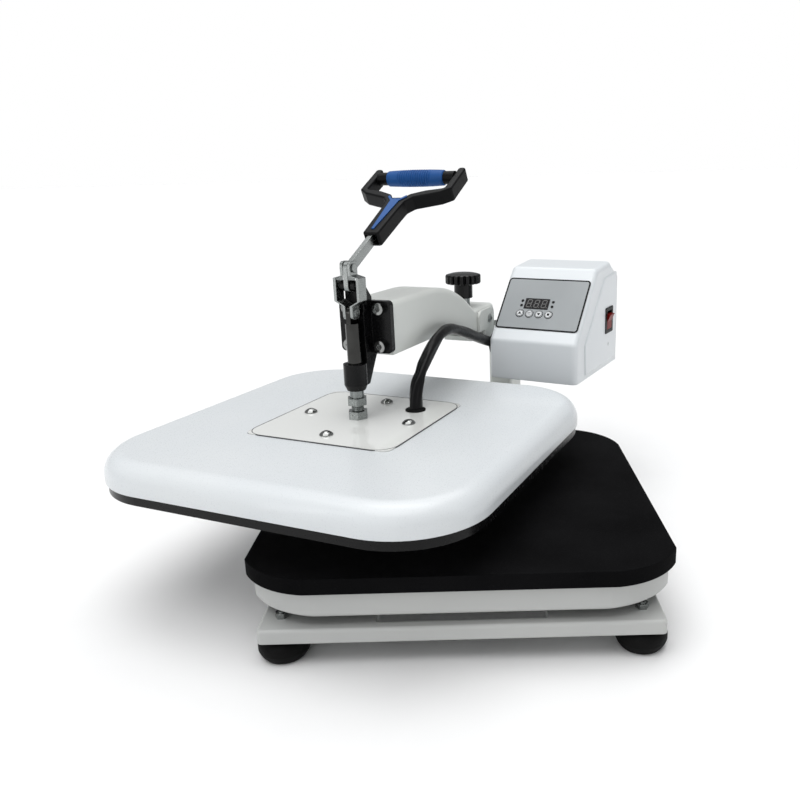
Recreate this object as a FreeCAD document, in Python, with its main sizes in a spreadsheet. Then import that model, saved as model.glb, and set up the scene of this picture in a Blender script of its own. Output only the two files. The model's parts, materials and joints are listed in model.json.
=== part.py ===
import FreeCAD, Part
import math
import os
import re
import Sketcher
from FreeCAD import Placement, Rotation, Vector

# Swing-away flat heat press, 38 by 38 cm, stored as photographed: handle back,
# heating platen raised and swung aside. Millimetres, Z up, floor at Z 0, front towards -Y.

os.makedirs("parts", exist_ok=True)
doc = FreeCAD.newDocument("heat_press")
sheet = doc.addObject("Spreadsheet::Sheet", "Sizes")
sizes = {
    # Where the press stands in its own frame
    "pad_x": 63.55,  # middle of the foam pad from the middle of the whole press, X
    "pad_y": -80.8,  # middle of the foam pad from the middle of the whole press, Y

    # Base frame and feet
    "base_half_width": 176.0,  # base frame, half of its width
    "base_front": 188.0,  # front face of the base frame ahead of the pad's middle
    "base_behind_axis": 62.7,  # rear face of the base frame behind the swing axis
    "base_top": 36.0,  # top surface of the base frame above the floor
    "base_flange": 13.0,  # height of the folded edge of the base frame
    "base_sheet": 2.5,  # sheet thickness of the base frame
    "base_corner": 4.5,  # corner radius of the base frame
    "fold_radius": 3.0,  # outside bend radius of folded sheet
    "window_half_width": 74.5,  # window in the base frame, half of its width
    "window_front_bar": 10.0,  # front bar of the base frame, front to back
    "window_rear": 160.0,  # rear edge of the window behind the pad's middle
    "foot_inset_side": 18.0,  # feet from the sides of the base frame
    "foot_inset_front": 23.0,  # front feet from the front of the base frame
    "foot_inset_rear": 25.0,  # rear feet from the rear of the base frame
    "foot_radius": 23.0,  # rubber foot, largest radius
    "foot_sole_radius": 18.0,  # rubber foot, radius of its flat sole
    "foot_shoulder": 21.0,  # top of the wide part of the rubber foot above the floor
    "foot_neck_radius": 12.0,  # neck of the rubber foot inside the base frame
    "foot_bolt_radius": 3.0,  # bolt through each foot
    "foot_bolt_sink": 9.0,  # depth of the recess for the bolt head in the sole
    "foot_recess_radius": 8.0,  # recess for the bolt head in the sole
    "foot_bolt_flats": 10.0,  # small bolts and nuts of the base across their flats
    "foot_bolt_head": 4.0,  # height of the foot bolt's head
    "foot_nut_height": 5.0,  # height of the small nuts of the base

    # Lower platen
    "pad_half_width": 190.0,  # foam pad, half of its width and depth
    "pad_thickness": 14.5,  # foam pad thickness
    "pad_bottom": 70.2,  # underside of the foam pad above the floor
    "front_corner_x": 57.0,  # front corner curve of the platens, measured along the front
    "front_corner_y": 40.0,  # front corner curve of the platens, measured along the side
    "rear_corner": 66.0,  # rear corner curve of the platens
    "corner_curve": 76.0,  # radius of the corner curves
    "tray_inset": 5.0,  # lower tray edge inside the pad edge at the sides
    "tray_depth": 24.2,  # height of the lower tray
    "tray_wall": 6.0,  # wall of the lower tray
    "tray_top": 5.0,  # top plate of the lower tray
    "tray_step": 2.0,  # stepped lower edge of the lower tray
    "stud_x": 125.0,  # stand-off studs of the lower tray from the centre line
    "stud_front_y": 140.0,  # front stand-off studs of the lower tray ahead of the pad's middle
    "stud_rear_y": 146.0,  # rear stand-off studs of the lower tray behind the pad's middle
    "stud_radius": 6.0,  # stand-off stud radius

    # Swing post and bearing
    "reach": 259.3,  # clamp axis to swing axis
    "swing_angle": 24.42,  # angle that the press is swung open, degrees
    "post_plate_half": 52.0,  # square foot of the post, half of its width
    "post_plate_thickness": 10.0,  # square foot of the post
    "post_bolt_spread": 38.0,  # bolts of the post from its axis, each way
    "post_bolt_radius": 4.0,  # bolts of the post
    "post_bolt_flats": 13.0,  # bolts of the post across their flats
    "post_bolt_nut": 6.0,  # height of the bolt heads and nuts of the post
    "backing_thickness": 4.0,  # backing plate under the base frame
    "bearing_play": 0.3,  # clearance above the swing hub
    "post_collar_radius": 26.0,  # collar of the post
    "post_collar_top": 58.0,  # top of the collar of the post above the floor
    "post_radius": 18.0,  # bearing shaft of the post
    "running_gap": 0.05,  # radial clearance of turning fits
    "bush_wall": 3.0,  # wall of the bearing bushes
    "bush_length": 16.0,  # length of the bearing bushes
    "washer_thickness": 3.0,  # thrust and retaining washers
    "hub_radius": 29.0,  # swing hub outside
    "hub_bottom": 61.2,  # underside of the swing hub above the floor
    "hub_height": 56.8,  # height of the swing hub
    "post_thread_radius": 8.0,  # threaded end of the post
    "post_nut_flats": 24.0,  # post nut across its flats
    "post_nut_height": 8.0,  # height of the post nut

    # Gooseneck from the hub up to the arm
    "neck_bottom": 68.0,  # underside of the gooseneck's lower beam above the floor
    "neck_depth": 44.0,  # height of the gooseneck's lower beam
    "neck_width": 34.0,  # width of the gooseneck's tube
    "neck_x": 28.0,  # middle of the gooseneck's upright, towards the control box
    "neck_y": 92.0,  # middle of the gooseneck's upright behind the swing axis
    "neck_length": 42.0,  # upright of the gooseneck, front to back
    "neck_wall": 4.0,  # wall of the gooseneck's tube
    "neck_round": 5.0,  # rounded edges of the gooseneck's tube
    "saddle_bottom": 191.0,  # underside of the saddle above the floor
    "saddle_plate": 6.0,  # thickness of the saddle's bottom plate
    "saddle_front": 254.0,  # front edge of the saddle behind the clamp axis
    "strap_depth": 48.0,  # side straps of the saddle, front to back
    "strap_thickness": 4.0,  # side straps of the saddle
    "saddle_nose": 20.0,  # front tongue of the saddle, half of its width
    "notch_rear": 272.0,  # rear edge of the notches for the cable behind the clamp axis
    "notch_top": 204.0,  # top of the notches for the cable above the floor
    "strap_top": 231.0,  # top of the side straps above the floor
    "strap_corner": 9.0,  # corner radius of the side straps
    "strap_gap": 0.3,  # side clearance between the arm and the straps
    "trunnion_height": 8.0,  # trunnion nut above the saddle's bottom plate
    "trunnion_radius": 5.0,  # journals of the trunnion nut
    "trunnion_inner": 13.0,  # inner faces of the trunnion lugs from the centre line
    "trunnion_lug": 6.0,  # thickness of the trunnion lugs
    "trunnion_lug_half": 8.0,  # trunnion lugs, half of their width
    "trunnion_round": 5.0,  # rounded tops of the trunnion lugs
    "tilt_play": 0.9,  # play of the trunnion nut in its lugs
    "saddle_bolt_spread": 9.0,  # saddle screws from the middle of the upright, each way
    "saddle_bolt_radius": 3.0,  # saddle screws
    "saddle_bolt_head": 5.0,  # head radius of the saddle screws

    # Arm
    "arm_half_width": 28.0,  # arm, half of its width
    "arm_sheet": 3.0,  # sheet thickness of the arm
    "arm_front": 35.0,  # front end of the arm behind the clamp axis
    "arm_rear": 309.0,  # rear end of the arm behind the clamp axis
    "arm_bottom": 221.5,  # bottom edge of the arm above the floor
    "arm_rear_bottom": 203.0,  # bottom edge of the arm at its rear above the floor
    "arm_top": 278.0,  # top of the arm above the floor
    "arm_deck": 234.0,  # top of the low rear deck of the arm above the floor
    "arm_curve_start": 127.0,  # where the top of the arm begins to fall, behind the clamp axis
    "arm_valley": 249.0,  # where the falling curve meets the rear deck, behind the clamp axis
    "arm_fold": 6.0,  # rounded upper edges of the arm
    "arm_valley_round": 12.0,  # rounding where the falling curve meets the rear deck
    "arm_valley_inner_round": 15.0,  # the same rounding inside the sheet
    "pivot_y": 287.0,  # tilt pivot of the arm behind the clamp axis
    "pivot_z": 217.0,  # tilt pivot of the arm above the floor
    "pivot_radius": 4.0,  # tilt pivot bolt
    "pivot_head": 6.0,  # head radius of the tilt pivot bolt
    "arm_belly_end": 175.0,  # where the lower edge of the arm begins to fall, behind the clamp axis

    # Pressure knob
    "knob_y": 275.0,  # pressure knob behind the clamp axis
    "knob_radius": 23.5,  # pressure knob outside
    "knob_bottom": 264.0,  # underside of the knob's rim above the floor
    "knob_rim": 12.0,  # height of the knob's rim
    "knob_dome": 3.0,  # height of the knob's domed top
    "knob_hub_radius": 12.5,  # neck of the knob
    "knob_hub_bottom": 245.0,  # underside of the knob's neck above the floor
    "knob_lobes": 14,  # grooves around the knob
    "knob_groove": 3.2,  # radius of the grooves around the knob
    "stud_thread_radius": 5.0,  # threaded stud of the knob
    "collar_radius": 8.5,  # steel collar under the knob

    # Clamp casting
    "flange_half_width": 31.0,  # flange of the casting, half of its width
    "flange_bottom": 224.5,  # underside of the flange above the floor
    "flange_top": 280.0,  # top of the flange above the floor
    "flange_thickness": 7.0,  # flange of the casting
    "flange_corner": 5.0,  # corner radius of the flange
    "front_plate": 3.0,  # plate between the flange and the arm
    "clamp_bolt_x": 19.0,  # clamp bolts from the centre line
    "clamp_bolt_z": 20.0,  # clamp bolts above and below their middle
    "clamp_bolt_head": 6.3,  # head radius of the clamp bolts
    "clamp_bolt_radius": 3.0,  # clamp bolts
    "bracket_half": 9.0,  # bracket between barrel and flange, half of its width
    "barrel_radius": 12.3,  # barrel of the casting outside
    "barrel_bottom": 189.6,  # underside of the barrel above the floor
    "barrel_top": 217.7,  # top of the barrel above the floor
    "cheek_gap": 3.2,  # inner face of each cheek from the centre line
    "cheek_face": 8.4,  # outer face of each cheek from the centre line
    "spine_y": 9.5,  # front of the casting's spine behind the clamp axis
    "fixed_pivot_z": 299.0,  # fixed pivot of the toggle above the floor
    "fixed_boss": 5.2,  # radius of the cheeks around the fixed pivot
    "pin_radius": 3.0,  # toggle pins
    "pin_end": 1.5,  # toggle pins and rivets beyond their seats

    # Toggle
    "throw": 17.6,  # fixed pivot to link pivot on the lever
    "link_length": 45.1,  # link pivot to rod pivot
    "lever_half": 2.5,  # lever bar, half of its thickness
    "lever_radius": 7.0,  # ends of the lever bar
    "lever_shank_top": 4.0,  # upper edge of the lever bar's sloping part above the pivot
    "lever_shank_end": 98.0,  # end of the lever bar inside the handle's stem
    "link_sheet": 3.0,  # thickness of the link strips
    "link_half_depth": 7.0,  # link strips, half of their width
    "link_neck": 7.1,  # straight ends of the link beyond its pivots
    "link_slant": 2.5,  # height of the link's slanted shoulders
    "link_round": 4.0,  # rounded ends of the link strips
    "link_side_gap": 0.3,  # clearance beside the lever bar and the rod head
    "link_hexagon": 15.0,  # link outside at its widest, from the centre line
    "rod_shoulder": 260.3,  # shoulder of the rod above the floor
    "plunger_radius": 7.25,  # chrome rod in the barrel
    "plunger_bottom": 181.3,  # lower shoulder of the rod above the floor
    "thread_radius": 6.0,  # thread below the rod
    "rod_thread_bottom": 142.0,  # lower end of the rod's thread above the floor
    "nut_flats": 19.0,  # lock nuts across their flats
    "lower_nut_height": 8.4,  # height of the lower lock nut
    "upper_nut_height": 7.7,  # height of the upper lock nut

    # Heating platen
    "plate_inset": 6.0,  # heating plate inside the cover, sides
    "plate_bottom": 120.2,  # underside of the heating plate above the floor
    "plate_thickness": 13.0,  # heating plate
    "skirt_wall": 1.2,  # sheet of the black skirt
    "skirt_bottom": 121.0,  # lower edge of the black skirt above the floor
    "cover_half": 202.0,  # cover, half of its width and depth
    "cover_bottom": 130.6,  # lower edge of the cover above the floor
    "cover_top": 157.6,  # top of the cover above the floor
    "cover_corner": 84.0,  # corner radius of the cover
    "cover_round": 20.0,  # rounded upper edge of the cover
    "cover_sheet": 2.0,  # sheet of the cover
    "cover_inner_round": 18.0,  # rounded upper edge of the cover, inside
    "skirt_height": 14.0,  # height of the black skirt
    "element_radius": 4.0,  # tubular heating element
    "element_pitch": 56.0,  # heating element, spacing of its runs
    "element_reach": 120.0,  # straight runs of the heating element, half of their length
    "insulation_thickness": 8.0,  # insulation over the heating element
    "insulation_inset": 9.0,  # insulation inside the cover, sides
    "stiffener_half": 92.0,  # stiffening plate under the cover, half of its width
    "stiffener_thickness": 4.0,  # stiffening plate under the cover
    "inner_nut_height": 6.0,  # nut under the stiffening plate
    "spacer_radius": 6.0,  # spacer tubes round the dome-headed screws
    "dome_shank": 3.0,  # radius of the dome-headed screws
    "dome_height": 4.5,  # height of the dome heads
    "sensor_x": 56.0,  # temperature sensor to the right of the clamp axis
    "sensor_y": -45.0,  # temperature sensor behind the clamp axis
    "sensor_radius": 9.0,  # temperature sensor
    "top_plate_half": 83.5,  # square top plate, half of its width
    "top_plate_corner": 9.0,  # corner radius of the top plate
    "top_plate_thickness": 3.0,  # square top plate
    "top_plate_top": 158.6,  # top of the square top plate above the floor
    "dome_screw_x": 60.5,  # dome-headed screws from the clamp axis
    "dome_head": 7.0,  # head radius of the dome-headed screws

    # Handle, measured along its slope from the lever's link pivot
    "handle_angle": 28.0,  # slope of the handle at rest, degrees
    "stem_start": 54.0,  # front end of the handle's stem
    "stem_half_width": 9.4,  # handle stem, half of its width at its front end
    "stem_spread": 1.6,  # growth of the stem's half width as far as the yoke
    "stem_wall": 2.6,  # wall round the hollow front end of the stem
    "stem_mouth": 7.0,  # depth of the hollow at the stem's front end
    "handle_top": 6.5,  # upper face of the handle above the pivot line
    "handle_depth": 16.7,  # handle, height across its slope
    "handle_round": 2.2,  # softened edges of the handle
    "handle_corner": 3.6,  # rounded corners of the handle's outline
    "yoke_start": 104.0,  # where the stem widens into the yoke
    "yoke_half_width": 58.0,  # yoke, half of its width
    "yoke_outer": 145.5,  # outer corner of the yoke
    "yoke_inner": 146.0,  # inner edge of the yoke beside its legs
    "yoke_dip": 126.7,  # inner edge of the yoke at its middle
    "leg_inner": 49.0,  # inner face of each leg of the yoke from the centre line
    "leg_end": 191.0,  # tip of the legs of the yoke
    "grip_place": 177.0,  # axis of the grip
    "grip_rise": 1.2,  # axis of the grip above the pivot line
    "grip_half_length": 36.0,  # blue grip, half of its length
    "grip_end_radius": 8.6,  # blue grip at its ends
    "grip_mid_radius": 9.6,  # blue grip at its middle
    "grip_bar_radius": 4.0,  # steel rod through the grip
    "grip_collar_radius": 7.3,  # collars beside the grip
    "inlay_thickness": 1.0,  # blue inlay on the yoke
    "inlay_start": 61.7,  # front tip of the blue inlay
    "inlay_end": 122.0,  # rear edge of the blue inlay

    # Cable sleeve from the heating platen to the control box, in the arm's frame
    "cable_radius": 6.5,  # cable sleeve
    # Points to the right of the clamp axis, behind it (g, h and i behind the swing axis) and above the floor
    "route_a_x": 44.8, "route_a_y": 44.9, "route_a_z": 150.0,
    "route_b_x": 44.8, "route_b_y": 44.9, "route_b_z": 177.0,
    "route_c_x": 43.0, "route_c_y": 62.0, "route_c_z": 204.0,
    "route_d_x": 41.0, "route_d_y": 98.0, "route_d_z": 226.0,
    "route_e_x": 39.5, "route_e_y": 140.0, "route_e_z": 230.5,
    "route_f_x": 38.0, "route_f_y": 184.0, "route_f_z": 219.5,
    "route_g_x": 36.3, "route_g_y": -33.3, "route_g_z": 204.5,
    "route_h_x": 36.3, "route_h_y": 11.2, "route_h_z": 188.6,
    "route_i_x": 58.0, "route_i_y": 26.2, "route_i_z": 181.1,
    "cable_bend_share": 0.45,  # tangent length of each bend, as a share of its shorter run
    "grommet_radius": 8.5,  # cable grommet in the top plate
    "grommet_flange": 11.0,  # flange of the cable grommet
    "grommet_proud": 2.4,  # cable grommet above the top plate
    "bush_hole_y": 18.7,  # cable bush behind the control box's front
    "bush_hole_z": 185.7,  # cable bush above the floor
    "bush_hole_radius": 13.3,  # cable bush in the wall of the control box
    "bush_flange": 1.5,  # flange of the cable bush, proud and thick

    # Control box, measured in its own frame from the swing axis
    "box_angle": 3.8,  # control box turned further than the arm, degrees
    "box_left": 43.0,  # left wall of the control box from the swing axis
    "box_width": 122.0,  # control box, side to side
    "box_bottom": 144.0,  # underside of the control box above the floor
    "box_fold": 195.0,  # where the front of the control box starts to slope
    "box_slope_top_y": 75.0,  # upper end of the sloping front behind the box's front
    "box_slope_top_z": 281.0,  # upper end of the sloping front above the floor
    "box_ridge_y": 128.0,  # rear edge of the top of the control box
    "box_ridge_z": 286.0,  # rear edge of the top of the control box above the floor
    "box_depth": 156.0,  # control box, front to back
    "box_back_top": 268.0,  # top of the back of the control box above the floor
    "box_wall": 2.5,  # wall of the control box
    "box_round": 7.0,  # rounded edges of the control box
    "pan_thickness": 2.5,  # bottom and back pan of the control box
    "label_margin": 3.5,  # label from the side walls of the control box
    "label_low": 18.0,  # lower edge of the label up the slope
    "label_high": 96.0,  # upper edge of the label up the slope
    "label_corner": 5.0,  # corner radius of the label
    "label_thickness": 0.6,  # label plate
    "display_left": 36.0,  # display from the left wall of the control box
    "display_width": 34.0,  # width of the display
    "display_low": 49.0,  # lower edge of the display up the slope
    "display_height": 16.0,  # height of the display
    "key_first": 33.2,  # first key from the left wall of the control box
    "key_pitch": 13.4,  # keys, spacing
    "key_up": 41.5,  # keys up the slope
    "key_radius": 4.7,  # key radius
    "key_proud": 1.0,  # keys above the label
    "key_gap": 0.3,  # clearance around each key
    "switch_y": 121.0,  # middle of the mains switch behind the box's front
    "switch_z": 207.5,  # middle of the mains switch above the floor
    "switch_half_depth": 15.0,  # mains switch bezel, half of its width
    "switch_half_height": 17.5,  # mains switch bezel, half of its height
    "bezel_thickness": 2.5,  # mains switch bezel
    "switch_body_half_depth": 11.5,  # mains switch body, half of its width
    "switch_body_half_height": 14.5,  # mains switch body, half of its height
    "switch_body_depth": 18.0,  # mains switch body behind the wall
    "rocker_half_depth": 9.0,  # rocker, half of its width
    "rocker_gap": 0.3,  # clearance beside the rocker
    "rocker_opening": 12.8,  # opening for the rocker, half of its height
    "rocker_pivot_depth": 8.2,  # rocker pivot behind the face of the bezel
    "rocker_face": 8.5,  # face of the rocker ahead of its pivot
    "rocker_half_height": 10.5,  # rocker, half of the length of its face
    "rocker_tilt": 12.0,  # rocker tilt either way, degrees
    "rocker_axle": 1.5,  # rocker axle
    "key_flange": 5.7,  # retaining flange of each key behind the wall
    "board_depth": 7.4,  # circuit board behind the sloping face
    "board_thickness": 1.6,  # circuit board
    "board_post": 2.5,  # stand-offs of the circuit board
    "key_stem": 4.0,  # keys behind the slope of the control box
    "key_flange_thickness": 1.0,  # retaining flange of each key
    "board_margin": 12.0,  # circuit board beyond the outer keys
    "board_below": 9.0,  # circuit board below the keys
    "board_above": 5.0,  # circuit board above the display
    "board_post_inset": 4.0,  # spacers from the edges of the circuit board
    "board_post_rise": 2.0,  # upper spacers above the display
    "window_proud": 0.3,  # display window above the label
    "lamp_proud": 0.4,  # indicator lamps above the label
    "relay_left": 17.0,  # heater relay from the left wall of the control box
    "relay_front": 60.0,  # front of the heater relay ahead of the box's rear edge
    "relay_side": 45.0,  # heater relay, each way in plan
    "relay_height": 26.0,  # heater relay
    "lamp_radius": 1.9,  # indicator lamps
    "lamp_left": 32.1,  # left lamps from the left wall of the control box
    "lamp_right": 75.2,  # right lamps from the left wall of the control box
    "lamp_high": 60.8,  # upper lamps up the slope
    "lamp_low": 53.8,  # lower lamps up the slope
    "label_border": 2.0,  # black border of the label
    "side_screw_y": 120.0,  # side screws of the control box behind its front
    "side_screw_z": 174.0,  # side screws of the control box above the floor
    "bracket_front": 72.0,  # front edge of the box bracket behind the swing axis
    "bracket_rear": 112.0,  # rear edge of the box bracket behind the swing axis
    "bracket_bottom": 150.0,  # lower edge of the box bracket above the floor
    "bracket_top": 186.0,  # upper edge of the box bracket above the floor
    "gland_x": 140.0,  # mains cable gland from the swing axis
    "gland_z": 165.0,  # mains cable gland above the floor
    "gland_radius": 9.0,  # mains cable gland
    "bracket_fillet": 2.0,  # small rounded corners inside the control box
    "bezel_corner": 1.5,  # corner radius of the mains switch bezel
}
for row, (alias, value) in enumerate(sizes.items(), 1):
    sheet.set("A%d" % row, alias.replace("_", " "))
    sheet.set("B%d" % row, str(value))
    sheet.setAlias("B%d" % row, alias)

doc.recompute()

# Modelling helpers: every formula is written with the sheet's aliases


def cell_names(formula):
    """Turn the aliases in a formula into references to the spreadsheet."""
    def point(found):
        word = found.group(0)
        return "Sizes." + word if word in sizes else word
    return re.sub(r"[a-z][a-z_]*", point, str(formula))


def tie(obj, prop, formula):
    """Bind a property to a formula of sheet aliases."""
    obj.setExpression(prop, cell_names(formula))


def at(obj, x, y, z):
    tie(obj, "Placement.Base.x", x)
    tie(obj, "Placement.Base.y", y)
    tie(obj, "Placement.Base.z", z)
    return obj


def block(x, y, z, dx, dy, dz):
    """A box from its lowest corner and its three lengths."""
    made = doc.addObject("Part::Box", "Block")
    tie(made, "Length", dx)
    tie(made, "Width", dy)
    tie(made, "Height", dz)
    return at(made, x, y, z)


TURNS = {"z": Rotation(), "x": Rotation(Vector(0, 1, 0), 90), "y": Rotation(Vector(1, 0, 0), -90)}


def rod(x, y, z, radius, length, axis="z"):
    """A cylinder that starts at a point and runs along one axis."""
    made = doc.addObject("Part::Cylinder", "Rod")
    made.Placement = Placement(Vector(), TURNS[axis])
    tie(made, "Radius", radius)
    tie(made, "Height", length)
    return at(made, x, y, z)


def hexagon(x, y, z, flats, length, axis="z"):
    """A six-sided prism, sized across its flats."""
    made = doc.addObject("Part::Prism", "Hexagon")
    made.Polygon = 6
    made.Placement = Placement(Vector(), TURNS[axis])
    tie(made, "Circumradius", "(%s) / 2 / cos(30)" % flats)
    tie(made, "Height", length)
    return at(made, x, y, z)


def ball(x, y, z, radius):
    made = doc.addObject("Part::Sphere", "Ball")
    tie(made, "Radius", radius)
    return at(made, x, y, z)


def join(*pieces):
    made = doc.addObject("Part::MultiFuse", "Join")
    made.Shapes = list(pieces)
    made.Refine = True
    return made


def cut(base, *tools):
    """Take the tools out of the base."""
    made = doc.addObject("Part::Cut", "Cut")
    made.Base = base
    made.Tool = tools[0] if len(tools) == 1 else join(*tools)
    made.Refine = True
    return made


def common(first, second):
    made = doc.addObject("Part::Common", "Common")
    made.Base = first
    made.Tool = second
    return made


def group(*pieces):
    """Separate solids that share one node."""
    made = doc.addObject("Part::Compound", "Group")
    made.Links = list(pieces)
    return made


def edge_names(shape, wanted):
    return ["Edge%d" % (i + 1) for i, edge in enumerate(shape.Edges) if wanted(edge)]


def soften(base, radius, wanted, kind="Part::Fillet"):
    """Round or chamfer the edges of a solid that the test picks."""
    doc.recompute()
    made = doc.addObject(kind, "Softened")
    made.Base = base
    picked = [i + 1 for i, edge in enumerate(base.Shape.Edges) if wanted(edge)]
    if not picked:
        raise ValueError("no edge was picked")
    made.Edges = [(i, sizes[radius], sizes[radius]) for i in picked]
    return made


def along(direction, **where):
    """A test for straight edges along one axis, with limits on the middle such as x_over=3."""
    def wanted(edge):
        if not isinstance(edge.Curve, Part.Line):
            return False
        run = edge.Vertexes[-1].Point - edge.Vertexes[0].Point
        size_along = {"x": run.x, "y": run.y, "z": run.z}[direction]
        if abs(size_along) < 0.999 * run.Length:
            return False
        middle = edge.CenterOfMass
        for limit, number in where.items():
            name, sense = limit.split("_")
            here = getattr(middle, name)
            if (sense == "over" and here < number) or (sense == "under" and here > number):
                return False
        return True
    return wanted


def level(z, tolerance=0.01):
    """A test for edges that lie wholly at one height."""
    def wanted(edge):
        box = edge.BoundBox
        return abs(box.ZMin - z) < tolerance and abs(box.ZMax - z) < tolerance
    return wanted


PLANES = {"xy": "XY_Plane", "xz": "XZ_Plane", "yz": "YZ_Plane"}


def new_body(name):
    body = doc.addObject("PartDesign::Body", name)
    return body


def new_sketch(body, plane, offset="0"):
    """A sketch on one of the body's origin planes, moved along the plane's normal."""
    sketch = body.newObject("Sketcher::SketchObject", "Profile")
    origin = [f for f in body.Origin.OriginFeatures if f.Role == PLANES[plane]][0]
    sketch.AttachmentSupport = [(origin, "")]
    sketch.MapMode = "FlatFace"
    tie(sketch, "AttachmentOffset.Base.z", offset)
    return sketch


def fix(sketch, kind, geometry, corner, formula):
    """Hold one vertex at a formula's distance from the sketch's origin."""
    number = sketch.addConstraint(Sketcher.Constraint(kind, -1, 1, geometry, corner, val(formula)))
    tie(sketch, "Constraints[%d]" % number, formula)


def val(formula):
    """The value of a formula of sheet aliases, as the sheet works it out."""
    return float(sheet.evalExpression(cell_names(formula)))


def arc_through(sketch, start, end, radius):
    """An arc between two fixed points that bulges to the right of the way from start to end."""
    a = Vector(val(start[0]), val(start[1]), 0)
    b = Vector(val(end[0]), val(end[1]), 0)
    r = val(radius)
    half = (b - a).Length / 2
    way = (b - a).normalize()
    out = Vector(way.y, -way.x, 0)
    rise = r - math.sqrt(r * r - half * half)
    middle = (a + b) / 2 + out * rise
    number = sketch.addGeometry(Part.Arc(a, middle, b))
    arc = sketch.Geometry[number]
    first_at_a = (arc.StartPoint - a).Length < (arc.StartPoint - b).Length
    for corner, where in ((1, start if first_at_a else end), (2, end if first_at_a else start)):
        fix(sketch, "DistanceX", number, corner, where[0])
        fix(sketch, "DistanceY", number, corner, where[1])
    hold = sketch.addConstraint(Sketcher.Constraint("Radius", number, r))
    tie(sketch, "Constraints[%d]" % hold, radius)
    return number


def segment(sketch, start, end):
    """A straight line between two fixed points."""
    a = Vector(val(start[0]), val(start[1]), 0)
    b = Vector(val(end[0]), val(end[1]), 0)
    number = sketch.addGeometry(Part.LineSegment(a, b))
    for corner, where in ((1, start), (2, end)):
        fix(sketch, "DistanceX", number, corner, where[0])
        fix(sketch, "DistanceY", number, corner, where[1])
    return number


def outline(sketch, pieces):
    """A closed outline of straight lines and arcs. Each piece is its start point, with a radius
    added where the way to the next point is an arc that bulges outwards."""
    for i, piece in enumerate(pieces):
        start = piece[:2]
        end = pieces[(i + 1) % len(pieces)][:2]
        if len(piece) == 3:
            arc_through(sketch, start, end, piece[2])
        else:
            segment(sketch, start, end)


def rounded_box(left, right, front, back, radius):
    """The corners of a rectangle with round corners, counter-clockwise."""
    return [("%s + (%s)" % (left, radius), front), ("%s - (%s)" % (right, radius), front, radius),
            (right, "%s + (%s)" % (front, radius)), (right, "%s - (%s)" % (back, radius), radius),
            ("%s - (%s)" % (right, radius), back), ("%s + (%s)" % (left, radius), back, radius),
            (left, "%s - (%s)" % (back, radius)), (left, "%s + (%s)" % (front, radius), radius)]


def platen_outline(inset):
    """The platen's plan: straight sides, and corner curves that meet them at a slight kink."""
    side = "(pad_half_width - (%s))" % inset
    return [("-%s + front_corner_x" % side, "-" + side),
            ("%s - front_corner_x" % side, "-" + side, "corner_curve"),
            (side, "-%s + front_corner_y" % side),
            (side, "%s - rear_corner" % side, "corner_curve"),
            ("%s - rear_corner" % side, side),
            ("-%s + rear_corner" % side, side, "corner_curve"),
            ("-" + side, "%s - rear_corner" % side),
            ("-" + side, "-%s + front_corner_y" % side, "corner_curve")]


def pad_up(body, pieces, bottom, height, plane="xy"):
    """Add a pad of an outline to a body."""
    sketch = new_sketch(body, plane, bottom)
    outline(sketch, pieces)
    made = body.newObject("PartDesign::Pad", "Pad")
    made.Profile = sketch
    tie(made, "Length", height)
    return made


def pocket_up(body, loops, bottom, height, plane="xy"):
    """Cut one or more nested outlines out of a body, from a plane along its normal."""
    sketch = new_sketch(body, plane, bottom)
    for pieces in loops:
        outline(sketch, pieces)
    made = body.newObject("PartDesign::Pocket", "Pocket")
    made.Profile = sketch
    made.Reversed = True
    tie(made, "Length", height)
    return made


def plate(pieces, bottom, height, plane="xy"):
    """A body that is one padded outline."""
    body = new_body("Plate")
    pad_up(body, pieces, bottom, height, plane)
    return body


def side_plate(pieces, half_width):
    """A body with an outline in the side view, padded both ways from the middle plane."""
    body = new_body("SidePlate")
    sketch = new_sketch(body, "yz")
    outline(sketch, pieces)
    made = body.newObject("PartDesign::Pad", "Pad")
    made.Profile = sketch
    made.Midplane = True
    tie(made, "Length", "2 * (%s)" % half_width)
    return body


def turned(corners, x="0", y="0", z="0", axis="z"):
    """A turned body: an outline of radius and height pairs, swept round the axis."""
    body = new_body("Turned")
    sketch = new_sketch(body, "xz")
    outline(sketch, corners)
    made = body.newObject("PartDesign::Revolution", "Revolution")
    made.Profile = sketch
    made.ReferenceAxis = (sketch, ["V_Axis"])
    made.Angle = 360
    body.Placement = Placement(Vector(), TURNS[axis])
    return at(body, x, y, z)


def ring(x, y, z, inner, outer, height, axis="z"):
    """A plain ring, such as a washer, a bush or a collar."""
    return turned([(inner, "0"), (outer, "0"), (outer, height), (inner, height)], x, y, z, axis)


def nut(x, y, z, flats, height, bore, axis="z"):
    long = "(%s) + 2" % height
    start = {"x": ("%s - 1" % x, y, z), "y": (x, "%s - 1" % y, z), "z": (x, y, "%s - 1" % z)}[axis]
    return cut(hexagon(x, y, z, flats, height, axis), rod(*start, bore, long, axis))


def set_in(pieces, x, y, z, axis, angle):
    """A group that stands at a point of its frame, turned about one axis."""
    made = group(*pieces)
    made.Placement = Placement(Vector(), Rotation(axis, val(angle)))
    return at(made, x, y, z)


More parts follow.
